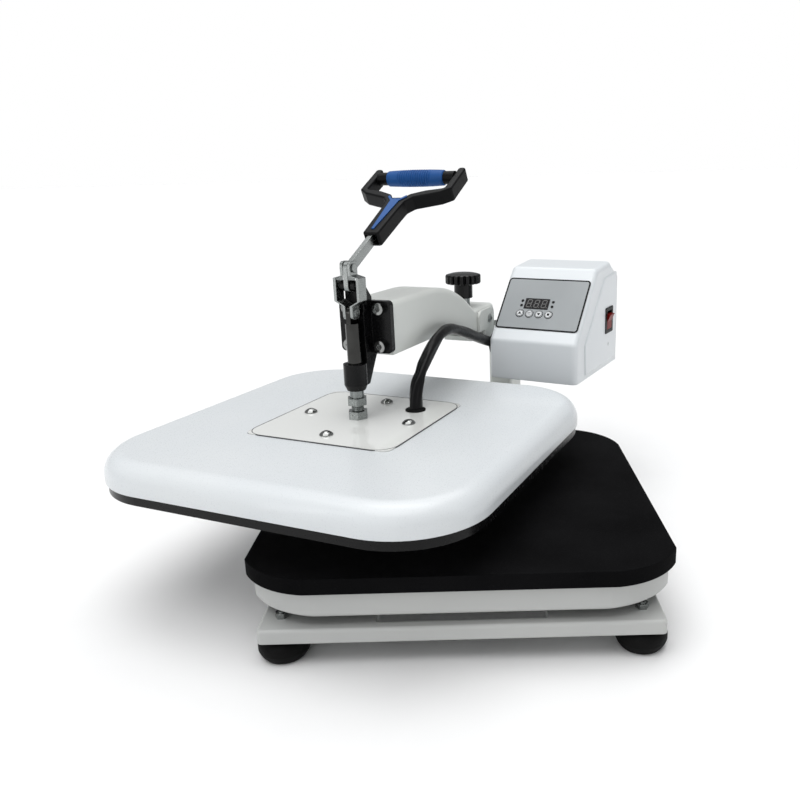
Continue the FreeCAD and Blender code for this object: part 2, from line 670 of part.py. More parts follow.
def tube(corners, radius, share):
    """A round cord: straight runs through corner points, joined by tangent arcs whose radii it prints."""
    pieces = []
    length = 0
    here = corners[0]
    for i in range(1, len(corners)):
        way = (corners[i] - corners[i - 1]).normalize()
        if i == len(corners) - 1:
            pieces.append(Part.makeCylinder(radius, (corners[i] - here).Length, here, way))
            length += (corners[i] - here).Length
            break
        after = corners[i + 1] - corners[i]
        turn = way.getAngle(after)
        tangent = share * min((corners[i] - corners[i - 1]).Length, after.Length)
        bend = tangent / math.tan(turn / 2)
        print("cord radius %.1f mm" % bend)
        start = corners[i] - way * tangent
        axis = way.cross(after).normalize()
        centre = start + axis.cross(way) * bend
        pieces.append(Part.makeCylinder(radius, (start - here).Length, here, way))
        section = Part.Face(Part.Wire(Part.makeCircle(radius, start, way)))
        pieces.append(section.revolve(centre, axis, math.degrees(turn)))
        length += (start - here).Length + bend * turn
        here = corners[i] + after.normalize() * tangent
    whole = pieces[0].fuse(pieces[1:]).removeSplitter()
    print("cord volume %.0f, section by length %.0f" % (whole.Volume, math.pi * radius ** 2 * length))
    return whole


# The three frames of the press, and the list of its sub-parts

base_frame_place = ("pad_x", "pad_y", "0")
arm_place = ("pad_x - reach * sin(swing_angle)", "pad_y + reach * (1 - cos(swing_angle))", "-swing_angle")
box_place = ("pad_x", "pad_y + reach", "-swing_angle - box_angle")
nodes = []


def node(name, place, made):
    """Give a finished sub-part its name and stand it in its frame."""
    if made.TypeId not in ("PartDesign::Body", "Part::Cut", "Part::MultiFuse", "Part::Compound",
                           "Part::Common", "Part::Fillet", "Part::Chamfer", "Part::Feature"):
        made = group(made)
    elif any("Placement" in bound[0] for bound in made.ExpressionEngine):
        made = group(made)
    made.Label = name
    made.Placement = Placement(Vector(), Rotation(Vector(0, 0, 1), val(place[2])))
    tie(made, "Placement.Base.x", place[0])
    tie(made, "Placement.Base.y", place[1])
    nodes.append(made)
    return made


# Base frame: one folded sheet with a window, and a rear bridge that carries the post

base_rear = "(reach + base_behind_axis)"
foot_places = [("(base_half_width - foot_inset_side) * %d" % side, y) for side in (-1, 1)
               for y in ("foot_inset_front - base_front", base_rear + " - foot_inset_rear")]
stud_places = [("stud_x * %d" % side, y) for side in (-1, 1) for y in ("-stud_front_y", "stud_rear_y")]
post_bolt_places = [("post_bolt_spread * %d" % side, "reach + post_bolt_spread * %d" % end)
                    for side in (-1, 1) for end in (-1, 1)]


def base_frame():
    frame = new_body("BaseFrame")
    low = "base_top - base_flange"
    outer = rounded_box("-base_half_width", "base_half_width", "-base_front", base_rear, "base_corner")
    pad_up(frame, outer, low, "base_flange")
    window = rounded_box("-window_half_width", "window_half_width", "-base_front + window_front_bar",
                         "window_rear", "fold_radius")
    pocket_up(frame, [window], low, "base_flange")
    inside = rounded_box("-base_half_width + base_sheet", "base_half_width - base_sheet",
                         "-base_front + base_sheet", base_rear + " - base_sheet", "base_corner - base_sheet")
    around = rounded_box("-window_half_width - base_sheet", "window_half_width + base_sheet",
                         "-base_front + window_front_bar - base_sheet", "window_rear + base_sheet",
                         "fold_radius + base_sheet")
    pocket_up(frame, [inside, around], low, "base_flange - base_sheet")
    folded = soften(frame, "fold_radius", lambda edge: level(sizes["base_top"])(edge) and (
        abs(edge.CenterOfMass.x) > sizes["window_half_width"] + 5
        or edge.CenterOfMass.y < -sizes["base_front"] + 1
        or edge.CenterOfMass.y > val(base_rear) - 1))
    under = "base_top - base_flange"
    holes = [rod(x, y, under, "foot_bolt_radius", "base_flange") for x, y in foot_places]
    holes += [rod(x, y, under, "foot_bolt_radius", "base_flange") for x, y in stud_places]
    holes += [rod(x, y, under, "post_bolt_radius", "base_flange") for x, y in post_bolt_places]
    return node("base_frame", base_frame_place, cut(folded, *holes))


def rubber_foot(x, y):
    neck_top = "base_top - base_sheet"
    return turned([("foot_bolt_radius", "foot_bolt_sink"), ("foot_recess_radius", "foot_bolt_sink"),
                   ("foot_recess_radius", "0"), ("foot_sole_radius", "0", "foot_shoulder"),
                   ("foot_radius", "foot_shoulder * 0.4"),
                   ("foot_radius", "foot_shoulder * 0.6", "foot_shoulder / 2"),
                   ("foot_radius - foot_shoulder / 4", "foot_shoulder"),
                   ("foot_neck_radius", "foot_shoulder"),
                   ("foot_neck_radius", neck_top), ("foot_bolt_radius", neck_top)], x, y)


def foot_bolt(x, y):
    head = hexagon(x, y, "foot_bolt_sink - foot_bolt_head", "foot_bolt_flats", "foot_bolt_head")
    shank = rod(x, y, "foot_bolt_sink - foot_bolt_head", "foot_bolt_radius",
                "base_top - foot_bolt_sink + foot_bolt_head + foot_nut_height + 1")
    return [join(head, shank), nut(x, y, "base_top", "foot_bolt_flats", "foot_nut_height",
                                   "foot_bolt_radius")]


def feet():
    node("rubber_feet", base_frame_place, group(*[rubber_foot(x, y) for x, y in foot_places]))
    node("foot_bolts", base_frame_place, group(*[p for x, y in foot_places for p in foot_bolt(x, y)]))


# Lower platen: a deep tray on four stand-off studs, with the foam pad on top


def lower_platen():
    low = "pad_bottom - tray_depth"
    rim = plate(platen_outline("tray_inset + tray_step"), low, "tray_step * 2")
    side = plate(platen_outline("tray_inset"), low + " + tray_step", "tray_depth - tray_step")
    hollow = plate(platen_outline("tray_inset + tray_wall"), low, "tray_depth - tray_top")
    holes = [rod(x, y, "pad_bottom - tray_top", "foot_bolt_radius", "tray_top - 1") for x, y in stud_places]
    node("lower_tray", base_frame_place, cut(join(rim, side), hollow, *holes))
    pad = plate(platen_outline("0"), "pad_bottom", "pad_thickness")
    node("foam_pad", base_frame_place, pad)
    pieces = []
    for x, y in stud_places:
        spacer = hexagon(x, y, "base_top", "2 * stud_radius * cos(30)", "pad_bottom - tray_top - base_top")
        tail = rod(x, y, "base_top - base_sheet", "foot_bolt_radius",
                   "pad_bottom - 1 - base_top + base_sheet")
        pieces.append(join(spacer, tail))
    node("tray_studs", base_frame_place, group(*pieces))


# Swing post: a turned shaft on a square foot, with its bearing, washer and nut


def swing_post():
    foot = block("-post_plate_half", "reach - post_plate_half", "base_top", "2 * post_plate_half",
                 "2 * post_plate_half", "post_plate_thickness")
    shaft = turned([("0", "base_top"), ("post_collar_radius", "base_top"),
                    ("post_collar_radius", "post_collar_top"),
                    ("post_radius", "post_collar_top"),
                    ("post_radius", "hub_bottom + hub_height + bearing_play"),
                    ("post_thread_radius", "hub_bottom + hub_height + bearing_play"),
                    ("post_thread_radius", "hub_bottom + hub_height + bearing_play + washer_thickness"
                     " + post_nut_height + 2"),
                    ("0", "hub_bottom + hub_height + bearing_play + washer_thickness + post_nut_height + 2")],
                   "0", "reach")
    holes = [rod(x, y, "base_top", "post_bolt_radius", "post_plate_thickness") for x, y in post_bolt_places]
    node("swing_post", base_frame_place, cut(join(foot, shaft), *holes))
    backing = block("-post_plate_half", "reach - post_plate_half",
                    "base_top - base_sheet - backing_thickness",
                    "2 * post_plate_half", "2 * post_plate_half", "backing_thickness")
    holes = [rod(x, y, "base_top - base_sheet - backing_thickness", "post_bolt_radius", "backing_thickness")
             for x, y in post_bolt_places]
    node("post_backing_plate", base_frame_place, cut(backing, *holes))
    bolts = []
    for x, y in post_bolt_places:
        top = "base_top + post_plate_thickness"
        low = "base_top - base_sheet - backing_thickness - post_bolt_nut"
        bolts.append(join(hexagon(x, y, top, "post_bolt_flats", "post_bolt_nut"),
                          rod(x, y, low, "post_bolt_radius", "%s - (%s) + 1" % (top, low))))
        bolts.append(nut(x, y, low, "post_bolt_flats", "post_bolt_nut", "post_bolt_radius"))
    node("post_bolts", base_frame_place, group(*bolts))
    seat = "hub_bottom + hub_height + bearing_play"
    washers = [ring("0", "reach", "post_collar_top", "post_radius + 0.2", "hub_radius - 2",
                    "washer_thickness"),
               ring("0", "reach", seat, "post_thread_radius", "hub_radius - 4", "washer_thickness")]
    lock = nut("0", "reach", seat + " + washer_thickness", "post_nut_flats", "post_nut_height",
               "post_thread_radius")
    node("post_nut_and_washers", base_frame_place, group(lock, *washers))


# Swing hub: a bush housing round the post, with a square tube gooseneck that rises behind the arm

neck_left = "neck_x - neck_width / 2"
neck_right = "neck_x + neck_width / 2"
neck_front = "reach + neck_y - neck_length / 2"
neck_rear = "reach + neck_y + neck_length / 2"
bush_outer = "post_radius + running_gap + bush_wall"


def swing_hub():
    housing = rod("0", "reach", "hub_bottom", "hub_radius", "hub_height")
    beam = block(neck_left, "reach", "neck_bottom", "neck_width", "neck_y + neck_length / 2", "neck_depth")
    upright = block(neck_left, neck_front, "neck_bottom", "neck_width", "neck_length",
                    "saddle_bottom - neck_bottom")
    hollow_beam = block(neck_left + " + neck_wall", "reach + hub_radius", "neck_bottom + neck_wall",
                        "neck_width - 2 * neck_wall", "neck_y + neck_length / 2 - hub_radius - neck_wall",
                        "neck_depth - 2 * neck_wall")
    hollow_upright = block(neck_left + " + neck_wall", neck_front + " + neck_wall", "neck_bottom + neck_wall",
                           "neck_width - 2 * neck_wall", "neck_length - 2 * neck_wall",
                           "saddle_bottom - neck_bottom")
    bore = rod("0", "reach", "hub_bottom", bush_outer, "hub_height")
    beam_top = val("neck_bottom + neck_depth")
    outside = soften(join(beam, upright), "neck_round", lambda edge: along("z", z_over=beam_top)(edge)
                     or along("y", z_over=sizes["neck_bottom"] + 1, z_under=sizes["saddle_bottom"] - 1)(edge))
    node("swing_hub", arm_place, cut(join(housing, outside), bore, hollow_beam, hollow_upright))
    bushes = [ring("0", "reach", z, "post_radius + running_gap", bush_outer, "bush_length")
              for z in ("hub_bottom", "hub_bottom + hub_height - bush_length")]
    node("hub_bushes", arm_place, group(*bushes))


# Saddle: a bent bracket on top of the gooseneck that holds the rear of the arm between two straps

strap_inner = "arm_half_width + strap_gap"
strap_outer = "arm_half_width + strap_gap + strap_thickness"
saddle_top = "saddle_bottom + saddle_plate"
trunnion_z = "saddle_bottom + saddle_plate + trunnion_height"
saddle_bolt_places = [("neck_x + saddle_bolt_spread * %d" % side,
                       "reach + neck_y + saddle_bolt_spread * %d" % end)
                      for side in (-1, 1) for end in (-1, 1)]


def saddle():
    plan = [("-saddle_nose", "saddle_front"), ("saddle_nose", "saddle_front"), ("saddle_nose", "notch_rear"),
            (strap_outer, "notch_rear"), (strap_outer, "saddle_front + strap_depth"),
            (neck_right, neck_front),
            (neck_right, neck_rear), (neck_left, neck_rear),
            ("-(%s)" % strap_outer, "saddle_front + strap_depth"),
            ("-(%s)" % strap_outer, "notch_rear"), ("-saddle_nose", "notch_rear")]
    bottom = plate(plan, "saddle_bottom", "saddle_plate")
    pieces = [bottom]
    for face in (strap_inner, "-(%s)" % strap_outer):
        strap = block(face, "saddle_front", "saddle_bottom", "strap_thickness", "strap_depth",
                      "strap_top - saddle_bottom")
        notch = block("-2 * arm_half_width", "saddle_front", "saddle_bottom", "4 * arm_half_width",
                      "notch_rear - saddle_front", "notch_top - saddle_bottom")
        pieces.append(cut(soften(strap, "strap_corner", along("x", z_over=sizes["strap_top"] - 1)), notch))
    for face in ("trunnion_inner", "-trunnion_inner - trunnion_lug"):
        lug = block(face, "knob_y - trunnion_lug_half", saddle_top, "trunnion_lug", "2 * trunnion_lug_half",
                    "trunnion_height + trunnion_lug_half")
        pieces.append(soften(lug, "trunnion_round", along("x", z_over=val(trunnion_z) + 1)))
    holes = [rod("-arm_half_width", "knob_y", trunnion_z, "trunnion_radius + tilt_play", "2 * arm_half_width",
                 "x"),
             rod("0", "knob_y", "saddle_bottom", "stud_thread_radius + 3", "saddle_plate"),
             rod("-2 * arm_half_width", "pivot_y", "pivot_z", "pivot_radius", "4 * arm_half_width", "x")]
    holes += [rod(x, y, "saddle_bottom", "saddle_bolt_radius", "saddle_plate") for x, y in saddle_bolt_places]
    node("saddle", arm_place, cut(join(*pieces), *holes))
    screws = []
    for x, y in saddle_bolt_places:
        head = rod(x, y, saddle_top, "saddle_bolt_head", "saddle_bolt_radius * 2")
        socket = hexagon(x, y, saddle_top + " + saddle_bolt_radius", "saddle_bolt_radius * 1.6",
                         "saddle_bolt_radius * 2")
        screws.append(join(cut(head, socket), rod(x, y, "saddle_bottom", "saddle_bolt_radius",
                                                  "saddle_plate + 1")))
    node("saddle_screws", arm_place, group(*screws))
    pin = rod("-(%s)" % strap_outer, "pivot_y", "pivot_z", "pivot_radius", "2 * (%s)" % strap_outer, "x")
    head = common(rod(strap_outer, "pivot_y", "pivot_z", "pivot_head", "pivot_radius", "x"),
                  ball("%s - pivot_head * 0.8" % strap_outer, "pivot_y", "pivot_z", "pivot_head * 1.3"))
    tail = rod("-(%s) - 8" % strap_outer, "pivot_y", "pivot_z", "pivot_radius", "9", "x")
    socket = hexagon("%s + 1" % strap_outer, "pivot_y", "pivot_z", "pivot_radius * 1.1", "10", "x")
    lock = nut("-(%s) - 6" % strap_outer, "pivot_y", "pivot_z", "post_bolt_flats", "6", "pivot_radius", "x")
    node("tilt_bolt", arm_place, group(cut(join(pin, head, tail), socket), lock))


# Arm: one folded sheet, high over the platen and stepped down at the rear in a long curve

curve_run = "(arm_valley - arm_curve_start)"
curve_drop = "(arm_top - arm_deck)"
curve_radius = "((%s ^ 2 + %s ^ 2) / (2 * %s))" % (curve_run, curve_drop, curve_drop)
flange_middle = "(flange_bottom + flange_top) / 2"
clamp_bolt_places = [("clamp_bolt_x * %d" % side, flange_middle + " + clamp_bolt_z * %d" % end)
                     for side in (-1, 1) for end in (-1, 1)]


def arm_profile(inset):
    """Side view of the arm, moved inwards by the sheet thickness for its hollow."""
    deck = "arm_deck - (%s)" % inset
    top = "arm_top - (%s)" % inset
    radius = "(%s - (%s))" % (curve_radius, inset)
    centre_z = "(arm_top - %s)" % curve_radius
    end_y = "arm_curve_start + sqrt(%s ^ 2 - (%s - %s) ^ 2)" % (radius, deck, centre_z)
    low = "arm_rear_bottom - (%s)" % ("0" if inset == "0" else "20")
    front_low = "arm_bottom - (%s)" % ("0" if inset == "0" else "20")
    front = "arm_front + (%s)" % inset
    rear = "arm_rear - (%s)" % inset
    return [(front, front_low), ("arm_belly_end", front_low), ("saddle_front", low), (rear, low),
            (rear, deck),
            (end_y, deck, radius), ("arm_curve_start", top), (front, top)]


def in_valley(edge):
    """Whether an edge runs across the arm where its curve meets the rear deck."""
    return (edge.BoundBox.XLength > 1 and abs(edge.CenterOfMass.y - sizes["arm_valley"]) < sizes["arm_sheet"]
            and edge.CenterOfMass.z > sizes["arm_deck"] - 2 * sizes["arm_sheet"])


def on_upper_fold(edge):
    """Whether an edge runs along one of the arm's upper folds."""
    outer = abs(edge.CenterOfMass.x) > sizes["arm_half_width"] - 0.1
    return outer and edge.BoundBox.ZMin > sizes["arm_deck"] - 0.1 and edge.BoundBox.YLength > 1


def arm():
    outside = soften(side_plate(arm_profile("0"), "arm_half_width"), "arm_valley_round", in_valley)
    rounded = soften(outside, "arm_fold", on_upper_fold)
    hollow = soften(side_plate(arm_profile("arm_sheet"), "arm_half_width - arm_sheet"),
                    "arm_valley_inner_round", in_valley)
    holes = [rod(x, "arm_front", z, "clamp_bolt_radius", "arm_sheet", "y") for x, z in clamp_bolt_places]
    holes.append(rod("0", "knob_y", "arm_deck - arm_sheet - 1", "stud_thread_radius + 1", "arm_sheet + 2"))
    holes.append(rod("-arm_half_width", "pivot_y", "pivot_z", "pivot_radius + running_gap",
                     "2 * arm_half_width", "x"))
    shell = cut(rounded, hollow)
    end_plate = block("-arm_half_width", "arm_front - front_plate", "arm_bottom", "2 * arm_half_width",
                      "front_plate", "arm_top - arm_bottom")
    bolt_holes = [rod(x, "arm_front - front_plate", z, "clamp_bolt_radius", "front_plate", "y")
                  for x, z in clamp_bolt_places]
    node("arm", arm_place, join(cut(shell, *holes), cut(end_plate, *bolt_holes)))


# Clamp casting: flange, spine, fork round the fixed pivot, and the barrel that guides the rod

flange_front = "arm_front - front_plate - flange_thickness"


def clamp_casting():
    flange = block("-flange_half_width", flange_front, "flange_bottom", "2 * flange_half_width",
                   "flange_thickness", "flange_top - flange_bottom")
    flange = soften(flange, "flange_corner", along("y"))
    barrel = turned([("0", "barrel_bottom"), ("barrel_radius * 0.8", "barrel_bottom"),
                     ("barrel_radius", "barrel_bottom + 6"), ("barrel_radius", "barrel_top"),
                     ("0", "barrel_top")])
    bracket = side_plate([("0", "barrel_bottom + 4"), ("barrel_radius + 1", "barrel_bottom + 4"),
                          (flange_front + " + flange_thickness", "flange_bottom"),
                          (flange_front + " + flange_thickness", "flange_bottom + 8"),
                          ("spine_y", "flange_bottom + 8"), ("spine_y", "barrel_top"), ("0", "barrel_top")],
                         "bracket_half")
    spine = side_plate([("spine_y", "barrel_top"), (flange_front + " + 2", "barrel_top + 4"),
                        (flange_front + " + 2", "flange_top + 4"), ("spine_y + 5", "fixed_pivot_z"),
                        ("spine_y", "fixed_pivot_z + 2")], "cheek_face")
    cheeks = side_plate([("0", "fixed_pivot_z - fixed_boss"), ("spine_y", "fixed_pivot_z - fixed_boss - 4"),
                         ("spine_y + 2", "fixed_pivot_z - fixed_boss - 4"),
                         ("spine_y + 2", "fixed_pivot_z + 3"),
                         ("0", "fixed_pivot_z + fixed_boss")], "cheek_face")
    boss = rod("-cheek_face", "0", "fixed_pivot_z", "fixed_boss", "2 * cheek_face", "x")
    slot = block("-cheek_gap", "-2 * fixed_boss", "fixed_pivot_z - 20", "2 * cheek_gap",
                 "2 * fixed_boss + spine_y",
                 "40")
    fork = cut(join(cheeks, boss), slot)
    bore = rod("0", "0", "barrel_bottom - 1", "plunger_radius + running_gap",
               "barrel_top - barrel_bottom + 2")
    pin_hole = rod("-cheek_face - 1", "0", "fixed_pivot_z", "pin_radius", "2 * cheek_face + 2", "x")
    holes = [rod(x, flange_front, z, "clamp_bolt_radius", "flange_thickness", "y") for x,
             z in clamp_bolt_places]
    node("clamp_casting", arm_place, cut(join(flange, barrel, bracket, spine, fork), bore, pin_hole, *holes))


def clamp_bolts():
    pieces = []
    for x, z in clamp_bolt_places:
        head = rod(x, flange_front + " - clamp_bolt_radius * 2", z, "clamp_bolt_head",
                   "clamp_bolt_radius * 2", "y")
        socket = hexagon(x, flange_front + " - clamp_bolt_radius * 2", z, "clamp_bolt_radius * 1.7",
                         "clamp_bolt_radius", "y")
        shank = rod(x, flange_front, z, "clamp_bolt_radius", "flange_thickness + front_plate + arm_sheet",
                    "y")
        pieces.append(cut(join(head, shank), socket))
    node("clamp_bolts", arm_place, group(*pieces))


# Pressure knob: a star knob with a threaded stud in a trunnion nut that rocks in the saddle


def pressure_knob():
    rim_top = "knob_bottom + knob_rim"
    dome_radius = "((knob_radius ^ 2 + knob_dome ^ 2) / (2 * knob_dome))"
    crown = common(rod("0", "knob_y", "knob_bottom", "knob_radius", "knob_rim + knob_dome"),
                   ball("0", "knob_y", "%s + knob_dome - %s" % (rim_top, dome_radius), dome_radius))
    neck = rod("0", "knob_y", "knob_hub_bottom", "knob_hub_radius", "knob_bottom - knob_hub_bottom + 1")
    grooves = []
    for i in range(int(sizes["knob_lobes"])):
        turn = "%d * 360 / knob_lobes" % i
        grooves.append(rod("(knob_radius + knob_groove * 0.55) * cos(%s)" % turn,
                           "knob_y + (knob_radius + knob_groove * 0.55) * sin(%s)" % turn,
                           "knob_bottom - 1", "knob_groove", "knob_rim + knob_dome + 2"))
    socket = rod("0", "knob_y", "knob_hub_bottom", "stud_thread_radius", "knob_bottom - knob_hub_bottom")
    node("pressure_knob", arm_place, cut(join(crown, neck), socket, *grooves))
    stud_low = "saddle_bottom - 1"
    stud = rod("0", "knob_y", stud_low, "stud_thread_radius", "knob_bottom - (%s)" % stud_low)
    collar = rod("0", "knob_y", "arm_deck + bearing_play", "collar_radius",
                 "knob_hub_bottom - arm_deck - bearing_play")
    node("knob_stud", arm_place, join(stud, collar))
    middle = rod("-trunnion_inner + 0.5", "knob_y", trunnion_z, "trunnion_radius + 2",
                 "2 * trunnion_inner - 1", "x")
    journals = rod("-trunnion_inner - trunnion_lug", "knob_y", trunnion_z, "trunnion_radius",
                   "2 * (trunnion_inner + trunnion_lug)", "x")
    thread = rod("0", "knob_y", "saddle_bottom", "stud_thread_radius + running_gap", "40")
    node("trunnion_nut", arm_place, cut(join(middle, journals), thread))


# Toggle: lever bar, link pair with a hexagonal eye round the fork, and the plunger rod

lever_pivot_z = "(fixed_pivot_z + throw)"
rod_pivot_z = "(fixed_pivot_z + throw - link_length)"


def sloped(y, z):
    """A point of the handle, given along and across its slope, in the side view."""
    return ("(%s) * cos(handle_angle) - (%s) * sin(handle_angle)" % (y, z),
            "%s + (%s) * sin(handle_angle) + (%s) * cos(handle_angle)" % (lever_pivot_z, y, z))


def lever_bar():
    upright = block("-lever_half", "-lever_radius", "fixed_pivot_z", "2 * lever_half", "2 * lever_radius",
                    "throw")
    eyes = [rod("-lever_half", "0", z, "lever_radius", "2 * lever_half", "x")
            for z in ("fixed_pivot_z", lever_pivot_z)]
    shank = side_plate([sloped("0", "-lever_radius"), sloped("lever_shank_end", "-lever_radius"),
                        sloped("lever_shank_end", "lever_shank_top"),
                        sloped("0", "lever_shank_top")], "lever_half")
    holes = [rod("-lever_half - 1", "0", "fixed_pivot_z", "pin_radius + running_gap", "2 * lever_half + 2",
                 "x"),
             rod("-lever_half - 1", "0", lever_pivot_z, "pin_radius", "2 * lever_half + 2", "x")]
    node("lever_bar", arm_place, cut(join(upright, *eyes, shank), *holes))
    node("fixed_pin", arm_place, rod("-cheek_face - pin_end", "0", "fixed_pivot_z", "pin_radius",
                                     "2 * (cheek_face + pin_end)", "x"))


def pin_with_heads(z, half, radius, head):
    shank = rod("-(%s)" % half, "0", z, radius, "2 * (%s)" % half, "x")
    heads = [rod(x, "0", z, head, "pin_end", "x") for x in (half, "-(%s) - pin_end" % half)]
    return join(shank, *heads)


link_inner = "(lever_half + link_side_gap)"
link_outer = "(lever_half + link_side_gap + link_sheet)"
eye_inner = "(link_hexagon - link_sheet)"


def link_strip(side):
    """One bent strip of the link, seen from the front: straight ends and a wide middle."""
    top = "%s + link_half_depth" % lever_pivot_z
    low = "%s - link_half_depth" % rod_pivot_z
    high_bend = "%s - link_neck" % lever_pivot_z
    high_wide = "%s - link_neck - link_slant" % lever_pivot_z
    low_wide = "%s + link_neck + 2 * link_slant" % rod_pivot_z
    low_bend = "%s + link_neck" % rod_pivot_z
    shape = [(link_inner, low), (link_outer, low), (link_outer, low_bend), ("link_hexagon", low_wide),
             ("link_hexagon", high_wide), (link_outer, high_bend), (link_outer, top), (link_inner, top),
             (link_inner, high_bend), (eye_inner, high_wide), (eye_inner, low_wide), (link_inner, low_bend)]
    if side < 0:
        shape = [("-" + x, z) for x, z in reversed(shape)]
    body = new_body("Strip")
    sketch = new_sketch(body, "xz")
    outline(sketch, shape)
    made = body.newObject("PartDesign::Pad", "Pad")
    made.Profile = sketch
    made.Midplane = True
    tie(made, "Length", "2 * link_half_depth")
    outer = sizes["lever_half"] + sizes["link_side_gap"] + sizes["link_sheet"]
    rounded = soften(body, "link_round", lambda edge: along("x")(edge) and edge.Length < outer
                     and (edge.CenterOfMass.z > val(top) - 0.01 or edge.CenterOfMass.z < val(low) + 0.01))
    holes = [rod("-link_hexagon", "0", lever_pivot_z, "pin_radius + running_gap", "2 * link_hexagon", "x"),
             rod("-link_hexagon", "0", rod_pivot_z, "pin_radius", "2 * link_hexagon", "x")]
    return cut(rounded, *holes)


def toggle():
    lever_bar()
    node("lever_pin", arm_place, pin_with_heads(lever_pivot_z, link_outer + " + link_side_gap", "pin_radius",
                                                "pin_radius + 1.5"))
    ears = [rod(x, "0", rod_pivot_z, "pin_radius", "link_sheet", "x")
            for x in (link_inner, "-%s" % link_outer)]
    heads = [rod(x, "0", rod_pivot_z, "pin_radius + 1.5", "pin_end", "x")
             for x in (link_outer, "-%s - pin_end" % link_outer)]
    rivets = [join(ear, head) for ear, head in zip(ears, heads)]
    node("link", arm_place, group(link_strip(1), link_strip(-1), *rivets))


def plunger():
    column = rod("0", "0", "plunger_bottom", "plunger_radius", "rod_shoulder - plunger_bottom")
    thread = rod("0", "0", "rod_thread_bottom", "thread_radius", "plunger_bottom - rod_thread_bottom")
    tongue = block("-lever_half", "-lever_radius", "rod_shoulder - 1", "2 * lever_half", "2 * lever_radius",
                   "%s - rod_shoulder + 1" % rod_pivot_z)
    eye = rod("-lever_half", "0", rod_pivot_z, "lever_radius", "2 * lever_half", "x")
    hole = rod("-lever_half - 1", "0", rod_pivot_z, "pin_radius", "2 * lever_half + 2", "x")
    node("plunger_rod", arm_place, cut(join(column, thread, tongue, eye), hole))
    lower = nut("0", "0", "top_plate_top", "nut_flats", "lower_nut_height", "thread_radius")
    upper = nut("0", "0", "plunger_bottom - upper_nut_height", "nut_flats", "upper_nut_height",
                "thread_radius")
    inner = nut("0", "0", "cover_top - cover_sheet - stiffener_thickness - inner_nut_height", "nut_flats",
                "inner_nut_height", "thread_radius")
    node("rod_nuts", arm_place, group(lower, upper, inner))


# Heating platen: top plate, pressed cover, stiffening plate, insulation, element, heating plate, skirt

screw_places = [("dome_screw_x", "0"), ("-dome_screw_x", "0"), ("0", "dome_screw_x"), ("0", "-dome_screw_x")]
plate_top = "plate_bottom + plate_thickness"
cover_under = "cover_top - cover_sheet"
stiffener_bottom = "cover_top - cover_sheet - stiffener_thickness"
insulation_bottom = "plate_bottom + plate_thickness + 2 * element_radius"


def square(half, radius):
    return rounded_box("-(%s)" % half, half, "-(%s)" % half, half, radius)


def cable_hole(z, height):
    return rod("route_a_x", "route_a_y", z, "grommet_radius", height)


def heating_platen():
    top = plate(square("top_plate_half", "top_plate_corner"), cover_under, "top_plate_thickness")
    holes = [rod(x, y, cover_under, "dome_shank", "top_plate_thickness") for x, y in screw_places]
    holes.append(rod("0", "0", cover_under, "thread_radius", "top_plate_thickness"))
    holes.append(cable_hole(cover_under, "top_plate_thickness"))
    node("top_plate", arm_place, cut(top, *holes))

    outside = plate(square("cover_half", "cover_corner"), "cover_bottom", "cover_top - cover_bottom")
    outside = soften(outside, "cover_round", level(sizes["cover_top"]))
    inside = plate(square("cover_half - cover_sheet", "cover_corner - cover_sheet"), "cover_bottom",
                   "cover_top - cover_bottom - cover_sheet")
    inside = soften(inside, "cover_inner_round", level(val(cover_under)))
    window = plate(square("top_plate_half + 0.3", "top_plate_corner"), "cover_bottom",
                   "cover_top - cover_bottom + 1")
    node("platen_cover", arm_place, cut(outside, inside, window))

    stiffener = plate(square("stiffener_half", "top_plate_corner"), stiffener_bottom, "stiffener_thickness")
    holes = [rod(x, y, stiffener_bottom, "dome_shank", "stiffener_thickness") for x, y in screw_places]
    holes.append(rod("0", "0", stiffener_bottom, "thread_radius", "stiffener_thickness"))
    holes.append(cable_hole(stiffener_bottom, "stiffener_thickness"))
    node("stiffening_plate", arm_place, cut(stiffener, *holes))

    slab = plate(square("cover_half - plate_inset", "cover_corner - plate_inset"), "plate_bottom",
                 "plate_thickness")
    holes = [rod(x, y, "plate_bottom + plate_thickness / 2", "dome_shank", "plate_thickness")
             for x, y in screw_places + [("sensor_x", "sensor_y")]]
    bosses = [ring(x, y, plate_top, "dome_shank", "spacer_radius",
                   "%s - (%s)" % (stiffener_bottom, plate_top))
              for x, y in screw_places]
    node("heating_plate", arm_place, join(cut(slab, *holes), *bosses))
    blanket = plate(square("cover_half - insulation_inset", "cover_corner - insulation_inset"),
                    insulation_bottom, "insulation_thickness")
    holes = [rod(x, y, insulation_bottom, "spacer_radius", "insulation_thickness") for x, y in screw_places]
    holes.append(rod("0", "0", insulation_bottom, "2 * thread_radius", "insulation_thickness"))
    node("insulation", arm_place, cut(blanket, *holes))
    outer = plate(square("cover_half - cover_sheet", "cover_corner - cover_sheet"), "skirt_bottom",
                  "skirt_height")
    inner = plate(square("cover_half - cover_sheet - skirt_wall", "cover_corner - cover_sheet - skirt_wall"),
                  "skirt_bottom", "skirt_height")
    node("platen_skirt", arm_place, cut(outer, inner))
    screws = []
    for x, y in screw_places:
        head = turned([("0", "0"), ("dome_head", "0"), ("dome_head", "1", "dome_head * 1.4"),
                       ("1", "dome_height"),
                       ("0", "dome_height")], x, y, "top_plate_top")
        shank = rod(x, y, "plate_bottom + plate_thickness / 2", "dome_shank",
                    "top_plate_top - plate_bottom - plate_thickness / 2 + 1")
        cross = hexagon(x, y, "top_plate_top + dome_height / 2", "dome_shank", "dome_height")
        screws.append(cut(join(head, shank), cross))
    node("dome_screws", arm_place, group(*screws))


